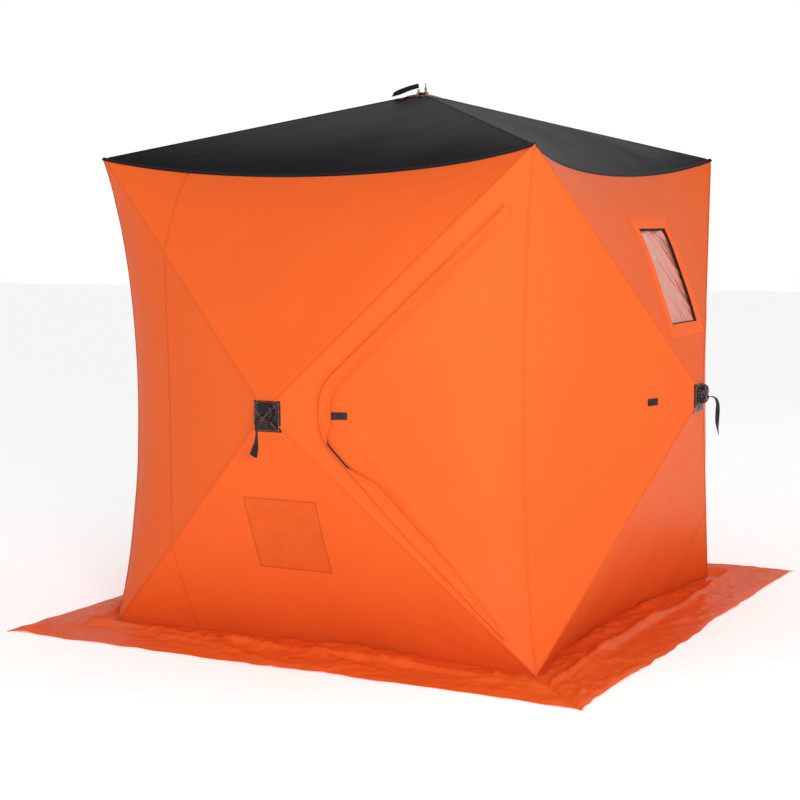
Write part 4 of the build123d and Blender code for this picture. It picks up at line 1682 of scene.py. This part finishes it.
# --------------------------------------------------------------------------- window
@dataclass
class Window:
    """The window in the right wall: its hole, its puckered border, its inner tape and its film."""

    envelope: Envelope
    centre: tuple[float, float] = (0.022, 0.4395)
    size: tuple[float, float] = (0.270, 0.355)
    border: float = 0.045
    tape: float = 0.006

    def __post_init__(self) -> None:
        """Finds the side and the bodies that the window hangs on."""
        self.cloth = self.envelope.sides[Side.RIGHT]
        high = self.envelope.sizes.eave - self.envelope.sizes.hub_height
        ends = self.cloth.frame.world(np.array([[0.0, high, 0.0], [0.0, high - 0.2, 0.0]]))
        self.follow = Follow("root", "right_window_side_body", tuple(ends[0]), tuple(ends[1]))

    def ring(self, grow: float, step: float = 0.006) -> np.ndarray:
        """Points round the hole, or round a rectangle that is larger all round.

        Args:
            grow: how much larger on each side.
            step: distance between points of the hole itself.

        Returns:
            N by 2 points, the same number whatever the size.
        """
        w, h = self.size[0] / 2, self.size[1] / 2
        corners = np.array([(-1, -1), (1, -1), (1, 1), (-1, 1), (-1, -1)], float)
        counts = [int(2 * w / step), int(2 * h / step)] * 2
        points = []
        for a, b, count in zip(corners, corners[1:], counts):
            for k in range(count):
                points.append(a + (b - a) * k / count)
        points.append(corners[-1])
        return np.array(points) * np.array([w + grow, h + grow]) + np.array(self.centre)

    def band(self, inner: float, outer: float, rows: int, lift: np.ndarray) -> tuple:
        """A flat ring between two rectangles, laid on the wall.

        Args:
            inner: how much larger than the hole its inner edge is.
            outer: how much larger its outer edge is.
            rows: points across it.
            lift: height above the cloth of each row.

        Returns:
            Points, map, lean shares and faces.
        """
        near, far = self.ring(inner), self.ring(outer)
        share = np.linspace(0, 1, rows)
        flat = near[:, None, :] * (1 - share)[None, :, None] + far[:, None, :] * share[None, :, None]
        points, _, lean = self.cloth.lay(flat.reshape(-1, 2), lift.ravel())
        run = np.concatenate([[0], np.cumsum(np.linalg.norm(np.diff(near, axis=0), axis=1))])
        chart = np.stack([np.repeat(run, rows), np.tile(share * (outer - inner), len(near))], axis=1)
        faces = [tuple(reversed(f)) for f in strip_faces(len(near), rows)]
        return points, chart, lean, faces

    def dress(self, maker: Maker, wardrobe: Wardrobe) -> None:
        """Makes the wall round the window, its border, its inner tape and its film.

        Args:
            maker: makes the pieces.
            wardrobe: the finishes.
        """
        bay = self.cloth.bays[Bay.TOP]
        cutting = CutCloth(bay)
        hole = self.ring(0.0)
        corners = np.array([(-1, -1), (1, -1), (1, 1), (-1, 1), (-1, -1)], float)
        frame_line = corners * np.array(self.size) / 2 + np.array(self.centre)
        cutting.cut(frame_line)
        wall = cutting.take(frame_line[:-1], False)
        piece = maker.mesh("window_wall", self.cloth.frame.world(wall.points), wall.faces, wall.points[:, :2])
        maker.finish(
            piece, wardrobe.wall, "wall_fabric", self.follow, wall.lean_share, CLOTH_THICKNESS,
            ("right_wall", "right_wall_window_side"),
        )
        noise = SmoothNoise(97)
        rows = 11
        share = np.linspace(0, 1, rows)
        run, across = np.meshgrid(np.arange(len(hole)) * 0.006, share, indexing="ij")
        lift = 0.0012 + 0.0014 * np.sin(math.pi * across) ** 0.5
        lift += 0.0062 * (noise.at(run * 62 + across, across * 2) - 0.35) * np.sin(math.pi * across)
        points, chart, lean, faces = self.band(-0.001, self.border, rows, np.maximum(lift, 0.0008))
        piece = maker.mesh("window_border_band", self.cloth.frame.world(points), faces, chart)
        maker.finish(
            piece, wardrobe.border, "border_fabric", self.follow, lean, 0.001, ("window_border",)
        )
        flat_lift = np.full((len(hole), 4), -0.006)
        points, chart, lean, faces = self.band(-self.tape, 0.022, 4, flat_lift)
        piece = maker.mesh("window_inner_tape", self.cloth.frame.world(points), faces, chart)
        maker.finish(piece, wardrobe.tab, "hook_and_loop", self.follow, lean, 0.0015)
        self.dress_film(maker, wardrobe)

    def dress_film(self, maker: Maker, wardrobe: Wardrobe) -> None:
        """The clear film behind the hole, creased from upper left to lower right."""
        noise, cells = SmoothNoise(113), 90
        u, v = unit_grid(cells)
        x = self.centre[0] + u * (self.size[0] + 0.04)
        y = self.centre[1] + v * (self.size[1] + 0.04)
        slant, along = x * 0.75 + y * 0.66, x * 0.66 - y * 0.75
        folds = noise.ridged(slant * 17 + 3, along * 3.5 + 9)
        depth = -0.019 + 0.013 * folds + 0.008 * (noise.at(slant * 9 + 20, along * 2) - 0.5)
        flat = np.stack([x, y], axis=2).reshape(-1, 2)
        points, _, _ = self.cloth.lay(flat, np.minimum(depth, -0.0085).ravel())
        faces = strip_faces(cells + 1, cells + 1)
        piece = maker.mesh("window_clear_film", self.cloth.frame.world(points), faces, flat)
        maker.finish(
            piece, wardrobe.film, "window_film", Follow("window_film_body"),
            thickness=0.0005, replaces=("window_film",),
        )


# --------------------------------------------------------------------------- trim on the cloth
@dataclass
class HubPatch:
    """The stitched vinyl square that a hub's plate bears on."""

    envelope: Envelope
    side: Side
    width: float = 0.11
    drop: float = 0.017
    margin: float = 0.007
    stitch: float = 0.0042
    pitch: float = 0.0062
    plate_rise: float = 0.0168
    plate_reach: float = 0.040

    def swell(self, x: np.ndarray, y: np.ndarray) -> np.ndarray:
        """How far the patch rises over the plate below it.

        Args:
            x: how far across the side.
            y: how far up the side.

        Returns:
            Heights above the cloth.
        """
        if self.side is Side.ROOF:
            return np.zeros_like(x)
        return self.plate_rise * smoothstep((self.plate_reach - np.hypot(x, y)) / 0.012)

    def dress(self, maker: Maker, wardrobe: Wardrobe) -> None:
        """Makes the patch and its stitches.

        Args:
            maker: makes the pieces.
            wardrobe: the finishes.
        """
        cloth, cells, noise = self.envelope.sides[self.side], 44, SmoothNoise(131 + len(self.side.value))
        follow = self.envelope.hub_follow(self.side)
        centre = (0.0, 0.0 if self.side is Side.ROOF else -self.drop)
        u, v = unit_grid(cells)
        pull = 1 - 0.05 * (1 - (2 * np.maximum(np.abs(u), np.abs(v))) ** 2)
        x, y = centre[0] + u * self.width * pull, centre[1] + v * self.width * pull
        around = np.arctan2(y, x)
        out = np.hypot(x, y) / self.width
        wave = noise.ridged(around * 5 + 10, out * 2 + 1) * np.exp(-((out - 0.35) / 0.3) ** 2)
        edge = np.clip((0.5 - np.maximum(np.abs(u), np.abs(v))) / 0.06, 0, 1)
        lift = 0.0012 + 0.0036 * wave * edge + 0.0006 * edge + self.swell(x, y)
        flat = np.stack([x, y], axis=2).reshape(-1, 2)
        points, hub, _ = cloth.lay(flat, lift.ravel())
        faces = strip_faces(cells + 1, cells + 1)
        piece = maker.mesh(f"{self.side.value}_hub_patch", cloth.frame.world(points), faces, flat)
        maker.finish(piece, wardrobe.vinyl, "black_webbing", follow, hub, 0.001)
        self.dress_stitches(maker, wardrobe, cloth, centre, follow)

    def dress_stitches(
        self, maker: Maker, wardrobe: Wardrobe, cloth: SideCloth, centre: tuple[float, float], follow: Follow
    ) -> None:
        """A row of stitches round the patch and two across it.

        Args:
            maker: makes the pieces.
            wardrobe: the finishes.
            cloth: the side it lies on.
            centre: the patch's middle.
            follow: what it moves with.
        """
        r = self.width / 2 - self.margin
        square = [(-r, -r), (r, -r), (r, r), (-r, r), (-r, -r)]
        lines = [square, [(-r, -r), (r, r)], [(-r, r), (r, -r)]]
        points, faces, shares = [], [], []
        for line in lines:
            for a, b in zip(line, line[1:]):
                a, b = np.array(a) + centre, np.array(b) + centre
                count = int(np.linalg.norm(b - a) / self.pitch)
                way = (b - a) / np.linalg.norm(b - a)
                side = np.array([-way[1], way[0]])
                for k in range(count):
                    middle = a + (b - a) * (k + 0.5) / count
                    if self.side is Side.ROOF and np.linalg.norm(middle) < 0.027:
                        continue
                    start = len(points)
                    flat = []
                    for s_, t_ in ((-1, 0), (-0.5, 1), (0.5, 1), (1, 0), (0.5, -1), (-0.5, -1), (0, 0)):
                        flat.append(middle + way * s_ * self.stitch / 2 + side * t_ * 0.0005)
                    over = self.swell(*np.array(flat).T) + 0.0016
                    laid, hub, _ = cloth.lay(np.array(flat), np.array([0.002] * 6 + [0.0042]) + over)
                    points += list(laid)
                    shares += list(hub)
                    ring = [5, 4, 3, 2, 1, 0]
                    faces += [(start + ring[i], start + ring[(i + 1) % 6], start + 6) for i in range(6)]
        spots = cloth.frame.world(np.array(points))
        piece = maker.mesh(f"{self.side.value}_hub_patch_stitches", spots, faces)
        maker.finish(piece, wardrobe.thread, "black_webbing", follow, np.array(shares))


@dataclass
class PullStrap:
    """The webbing strap that a hub is pulled out by, hanging in a soft curve."""

    envelope: Envelope
    side: Side
    length: float = 0.15
    course: tuple[tuple[float, float, float, float, float], ...] = (
        (0.0, -0.012, 0.015, 0.016, 0.0), (0.0, -0.010, 0.034, 0.016, 0.0),
        (0.001, -0.016, 0.050, 0.017, 0.1), (0.003, -0.038, 0.056, 0.018, 0.4),
        (0.004, -0.068, 0.055, 0.018, 0.7), (0.001, -0.098, 0.054, 0.021, 0.4),
        (-0.004, -0.125, 0.057, 0.026, -0.1), (-0.008, -0.148, 0.062, 0.028, -0.3),
    )

    def dress(self, maker: Maker, wardrobe: Wardrobe) -> None:
        """Makes the strap along its curve: across, up and out of the hub, its width and its twist.

        Args:
            maker: makes the pieces.
            wardrobe: the finishes.
        """
        stations, rows = 49, 7
        course = np.array(self.course)
        u = np.linspace(0, len(course) - 1, stations)
        smooth = np.array([np.interp(u, np.arange(len(course)), course[:, k]) for k in range(5)])
        for _ in range(6):
            smooth[:, 1:-1] = (smooth[:, :-2] + 2 * smooth[:, 1:-1] + smooth[:, 2:]) / 4
        across, up, out, width, twist = smooth
        frame_ = self.envelope.frames[self.side]
        if self.side is Side.ROOF:
            low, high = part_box("roof_pull_strap")
            start, end = np.array(high) + (-0.012, -0.012, 0.006), np.array(low) + (0.014, 0.014, -0.014)
            twist = twist * 0.5 + np.linspace(1.2, 0.5, stations)
            width = width + 0.004
            share = np.linspace(0, 1, stations)[:, None]
            path = start + (end - start) * share + np.array([0, 0, 1.0]) * out[:, None] * 0.1
            way = (end - start) / np.linalg.norm(end - start)
            level = np.cross(way, (0, 0, 1.0))
        else:
            path = frame_.world(np.stack([across, up, out + frame_.reach], axis=1))
            level = frame_.across
        way = np.gradient(path, axis=0)
        way /= np.linalg.norm(way, axis=1, keepdims=True)
        face = np.cross(way, np.broadcast_to(level, way.shape))
        side = np.cos(twist)[:, None] * level + np.sin(twist)[:, None] * face
        rows_at = np.linspace(-0.5, 0.5, rows)
        cut = np.linspace(0, 1, stations)[:, None] ** 12 * rows_at[None, :] * 0.012
        points = path[:, None, :] + side[:, None, :] * (width[:, None] * rows_at[None, :])[..., None]
        points += way[:, None, :] * cut[..., None]
        run = np.linspace(0, self.length, stations)
        chart = np.stack([np.repeat(run, rows), (width[:, None] * rows_at[None, :]).ravel()], axis=1)
        faces = strip_faces(stations, rows)
        piece = maker.mesh(f"{self.side.value}_webbing_strap", points.reshape(-1, 3), faces, chart)
        first = piece.data.polygons[0].normal
        if np.dot(np.array(first), frame_.out) < 0:
            piece.data.flip_normals()
        maker.finish(
            piece, wardrobe.webbing, "black_webbing", Follow(f"{self.side.value}_strap_body"),
            thickness=0.0018, replaces=(f"{self.side.value}_pull_strap",),
        )


@dataclass
class WallTrim:
    """Seams between widths of cloth, the wall tab and the inner storage pocket."""

    envelope: Envelope
    width_seam: float = 0.54

    def seam(
        self, maker: Maker, wardrobe: Wardrobe, side: Side, across: float, low: float, high: float
    ) -> None:
        """A seam straight up a wall.

        Args:
            maker: makes the pieces.
            wardrobe: the finishes.
            side: the wall.
            across: how far from the hub it runs.
            low: where it starts, from the hub's height.
            high: where it ends.
        """
        cloth = self.envelope.sides[side]
        path = walk([(across, low), (across, high)], 0.012)
        piece, hub, _ = Tape(f"{side.value}_width_seam", path, 0.007, 0.0005, 0.0009).build(maker, cloth)
        maker.finish(piece, wardrobe.seam, "wall_fabric", self.envelope.hub_follow(side), hub)

    def dress(self, maker: Maker, wardrobe: Wardrobe) -> None:
        """Makes the seams, the tab and the pocket.

        Args:
            maker: makes the pieces.
            wardrobe: the finishes.
        """
        low = -self.envelope.sizes.hub_height + 0.02
        eave = self.envelope.sizes.eave - self.envelope.sizes.hub_height - 0.05
        for side, across, top in (
            (Side.FRONT, -self.width_seam, eave), (Side.RIGHT, self.width_seam, self.width_seam),
            (Side.BACK, self.width_seam, eave), (Side.LEFT, -self.width_seam, eave),
        ):
            self.seam(maker, wardrobe, side, across, low, top)
        cloth = self.envelope.sides[Side.RIGHT]
        low_corner, high_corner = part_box("wall_tab")
        hub_height = self.envelope.sizes.hub_height
        centre = ((low_corner.y + high_corner.y) / 2, (low_corner.z + high_corner.z) / 2 - hub_height)
        size = (high_corner.y - low_corner.y, high_corner.z - low_corner.z)
        points, chart, hub, _, faces = patch(cloth, centre, size, 0.004, 0.0012, 6)
        piece = maker.mesh("right_wall_tab", cloth.frame.world(points), faces, chart)
        maker.finish(
            piece, wardrobe.tab, "hook_and_loop", self.envelope.hub_follow(Side.RIGHT), hub, 0.003,
            ("wall_tab",),
        )
        self.dress_pocket(maker, wardrobe)

    def dress_pocket(self, maker: Maker, wardrobe: Wardrobe) -> None:
        """The storage pocket sewn inside the front wall."""
        cloth = self.envelope.sides[Side.FRONT]
        low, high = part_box("inner_pocket")
        size = (high.x - low.x, high.z - low.z)
        centre = ((low.x + high.x) / 2, (low.z + high.z) / 2 - self.envelope.sizes.hub_height)
        points, chart, hub, _, faces = patch(cloth, centre, size, -0.004, 0.002, 8, 30)
        piece = maker.mesh("storage_pocket", cloth.frame.world(points), faces, chart)
        maker.finish(
            piece, wardrobe.border, "pocket_fabric", self.envelope.hub_follow(Side.FRONT), hub, 0.001,
            ("inner_pocket",),
        )


# --------------------------------------------------------------------------- ground skirt
@dataclass
class GroundSkirt:
    """Four creased strips that lie on the ice round the shelter."""

    sizes: ShelterSizes
    cells_along: int = 190
    cells_out: int = 30
    rest: float = 0.0015
    fold_height: float = 0.024
    crumple_height: float = 0.026
    fine_height: float = 0.010

    def strip(self, quarter: int) -> tuple[np.ndarray, np.ndarray]:
        """One strip's points and map, before it is turned into place.

        Args:
            quarter: which strip, which seeds its creases.

        Returns:
            Points and map.
        """
        noise = SmoothNoise(90 + quarter)
        u, v = np.meshgrid(
            np.linspace(0, 1, self.cells_along + 1), np.linspace(0, 1, self.cells_out + 1), indexing="ij"
        )
        half, outer = self.sizes.half, self.sizes.skirt_outer
        inner_x = -half + 2 * half * u
        inner_y = -half + self.sizes.ground_bow * 4 * u * (1 - u)
        edge = 4 * u * (1 - u)
        ragged = 0.018 * (noise.at(u * 9, u * 0 + 3) - 0.75) + 0.012 * (noise.at(u * 31, u * 0 + 9) - 0.5)
        outer_x = -outer + 2 * outer * u
        outer_y = -outer + 0.01 - ragged * np.minimum(edge * 6, 1)
        x, y = inner_x + (outer_x - inner_x) * v, inner_y + (outer_y - inner_y) * v
        mitre = np.clip(np.minimum(u, 1 - u) / 0.02, 0, 1)
        out = -y - half
        fold_at = 0.06 + 0.035 * noise.at(x * 2.2, x * 0)
        long_fold = np.exp(-(((out - fold_at) / 0.016) ** 2)) * (0.35 + noise.at(x * 3, x * 0 + 5))
        crumple = noise.ridged(x * 4.5 + 3 + y * 3, y * 11 + 8 + 1.2 * np.sin(x * 3))
        fine = noise.ridged(x * 17 + 30 - y * 11, y * 21 + 18)
        broad = noise.at(x * 3.5 + 40, y * 5 + 12)
        folded = self.fold_height * long_fold * np.clip(1.3 - v, 0, 1)
        creased = self.crumple_height * crumple * broad + self.fine_height * fine * (0.3 + broad)
        height = self.rest + mitre * (folded + creased)
        hem = np.clip((1 - v) / 0.06, 0, 1)
        height = self.rest + (height - self.rest) * (0.35 + 0.65 * hem)
        join = np.exp(-((v * 0.3 / 0.012) ** 2))
        height = height * (1 - join) + 0.004 * join
        points = np.stack([x, y, height], axis=2).reshape(-1, 3)
        return points, points[:, :2]

    def dress(self, maker: Maker, wardrobe: Wardrobe) -> None:
        """Makes the skirt as one sewn piece of four strips.

        Args:
            maker: makes the pieces.
            wardrobe: the finishes.
        """
        whole, charts, faces, start = [], [], [], 0
        for quarter in range(4):
            points, chart = self.strip(quarter)
            turn = np.array(Matrix.Rotation(quarter * math.pi / 2, 3, "Z"))
            whole.append(points @ turn.T)
            charts.append(chart)
            strip = [tuple(reversed(f)) for f in strip_faces(self.cells_along + 1, self.cells_out + 1)]
            faces += [tuple(i + start for i in f) for f in strip]
            start += len(points)
        piece = maker.mesh("ground_skirt", np.concatenate(whole), faces, np.concatenate(charts))
        maker.finish(
            piece, wardrobe.skirt, "skirt_fabric", Follow("root"), thickness=0.0008, replaces=("skirt",)
        )


# --------------------------------------------------------------------------- studio
@dataclass
class Studio:
    """Pale floor, soft lamps and the camera."""

    position: tuple[float, float, float] = (3.2207, -5.9987, 1.5417)
    azimuth: float = 28.2312
    elevation: float = 5.9903
    roll: float = -0.5529
    lens: float = 75.48
    shift: float = -0.0321
    sky_strength: float = 0.66
    floor_glow: float = 0.3

    def camera(self) -> None:
        """Places the camera."""
        data = bpy.data.cameras.new("camera")
        data.sensor_width = 36.0
        data.lens = self.lens
        data.shift_x = self.shift
        data.clip_end = 60.0
        piece = bpy.data.objects.new("camera", data)
        bpy.context.scene.collection.objects.link(piece)
        a, e, r = (math.radians(x) for x in (self.azimuth, self.elevation, self.roll))
        back = Vector((math.sin(a) * math.cos(e), -math.cos(a) * math.cos(e), math.sin(e)))
        right = (-back).cross(Vector((0, 0, 1))).normalized()
        up = right.cross(-back)
        right, up = math.cos(r) * right + math.sin(r) * up, -math.sin(r) * right + math.cos(r) * up
        turn = Matrix((right, up, back)).transposed().to_4x4()
        piece.matrix_world = Matrix.Translation(self.position) @ turn
        bpy.context.scene.camera = piece

    def lamp(self, name: str, place: tuple, aim: tuple, size: float, power: float) -> None:
        """Adds one soft lamp.

        Args:
            name: its name.
            place: where it stands.
            aim: the point it faces.
            size: its side in metres.
            power: its power in watts.
        """
        data = bpy.data.lights.new(name, "AREA")
        data.shape = "DISK"
        data.size = size
        data.energy = power
        piece = bpy.data.objects.new(name, data)
        piece.location = place
        piece.rotation_euler = (Vector(aim) - Vector(place)).to_track_quat("-Z", "Y").to_euler()
        bpy.context.scene.collection.objects.link(piece)

    def build(self) -> None:
        """Sets the floor, the lamps and the sky."""
        bpy.ops.object.select_all(action="DESELECT")
        bpy.ops.mesh.primitive_plane_add(size=60, location=(0, 0, 0))
        floor = bpy.context.object
        floor.name = "studio_floor"
        paint = bpy.data.materials.new("studio_floor")
        paint.use_nodes = True
        shader = paint.node_tree.nodes["Principled BSDF"]
        shader.inputs["Base Color"].default_value = (0.93, 0.93, 0.93, 1)
        shader.inputs["Roughness"].default_value = 0.9
        shader.inputs["Emission Color"].default_value = (1, 1, 1, 1)
        shader.inputs["Emission Strength"].default_value = self.floor_glow
        floor.data.materials.append(paint)
        self.lamp("key", (4.4, -5.6, 2.0), (0.5, -0.6, 0.9), 2.2, 250)
        self.lamp("fill", (-5.5, -4.0, 2.5), (0, 0, 0.9), 4.0, 10)
        self.lamp("back", (1.0, 6.5, 4.0), (0, 0, 1.6), 4.0, 12)
        world = bpy.data.worlds.new("studio")
        world.use_nodes = True
        sheet = Sheet(world.node_tree)
        sky = world.node_tree.nodes["Background"]
        sky.inputs["Color"].default_value = (1, 1, 1, 1)
        sky.inputs["Strength"].default_value = self.sky_strength
        backdrop = sheet.add("ShaderNodeBackground", {"Color": (1, 1, 1, 1)})
        rays = sheet.add("ShaderNodeLightPath")
        either = sheet.add("ShaderNodeMixShader")
        sheet.link(rays.outputs["Is Camera Ray"], either.inputs[0])
        sheet.link(sky.outputs[0], either.inputs[1])
        sheet.link(backdrop.outputs[0], either.inputs[2])
        sheet.link(either.outputs[0], world.node_tree.nodes["World Output"].inputs["Surface"])
        bpy.context.scene.world = world
        bpy.context.scene.view_settings.view_transform = "Standard"
        self.camera()


def dress_hardware(wardrobe: Wardrobe) -> None:
    """Gives every CAD node that stays in view its finish.

    Args:
        wardrobe: the finishes.
    """
    for name, node in frame["nodes"].items():
        if name.endswith("_hub"):
            finish = wardrobe.hub
        elif name.endswith("_hub_pins"):
            finish = wardrobe.pin
        elif name.endswith("_hub_plate") or name == "roof_ring" or name.startswith("zip_slider"):
            finish = wardrobe.plated
        elif "_pole_" in name and "pockets" not in name:
            finish = wardrobe.pole
        else:
            finish = wardrobe.webbing
        for slot in node.material_slots:
            slot.material = finish


def main() -> None:
    """Builds the shelter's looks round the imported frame."""
    logging.basicConfig(level=logging.INFO, format="%(name)s %(message)s")
    sizes = ShelterSizes.from_frame()
    frames = side_frames(sizes)
    wardrobe = Wardrobe(Effects())
    maker = Maker()
    dress_hardware(wardrobe)
    envelope = Envelope(sizes, frames)
    envelope.dress(maker, wardrobe, {Side.FRONT: Bay.RIGHT, Side.RIGHT: Bay.TOP})
    Door(envelope).dress(maker, wardrobe)
    Window(envelope).dress(maker, wardrobe)
    for side in Side:
        HubPatch(envelope, side).dress(maker, wardrobe)
        PullStrap(envelope, side).dress(maker, wardrobe)
    WallTrim(envelope).dress(maker, wardrobe)
    EdgeSeams(envelope).dress(maker, wardrobe)
    GroundSkirt(sizes).dress(maker, wardrobe)
    Studio().build()
    bpy.context.view_layer.update()
    log.info("%d pieces made", len(maker.made))


if __name__ == "__main__":
    main()
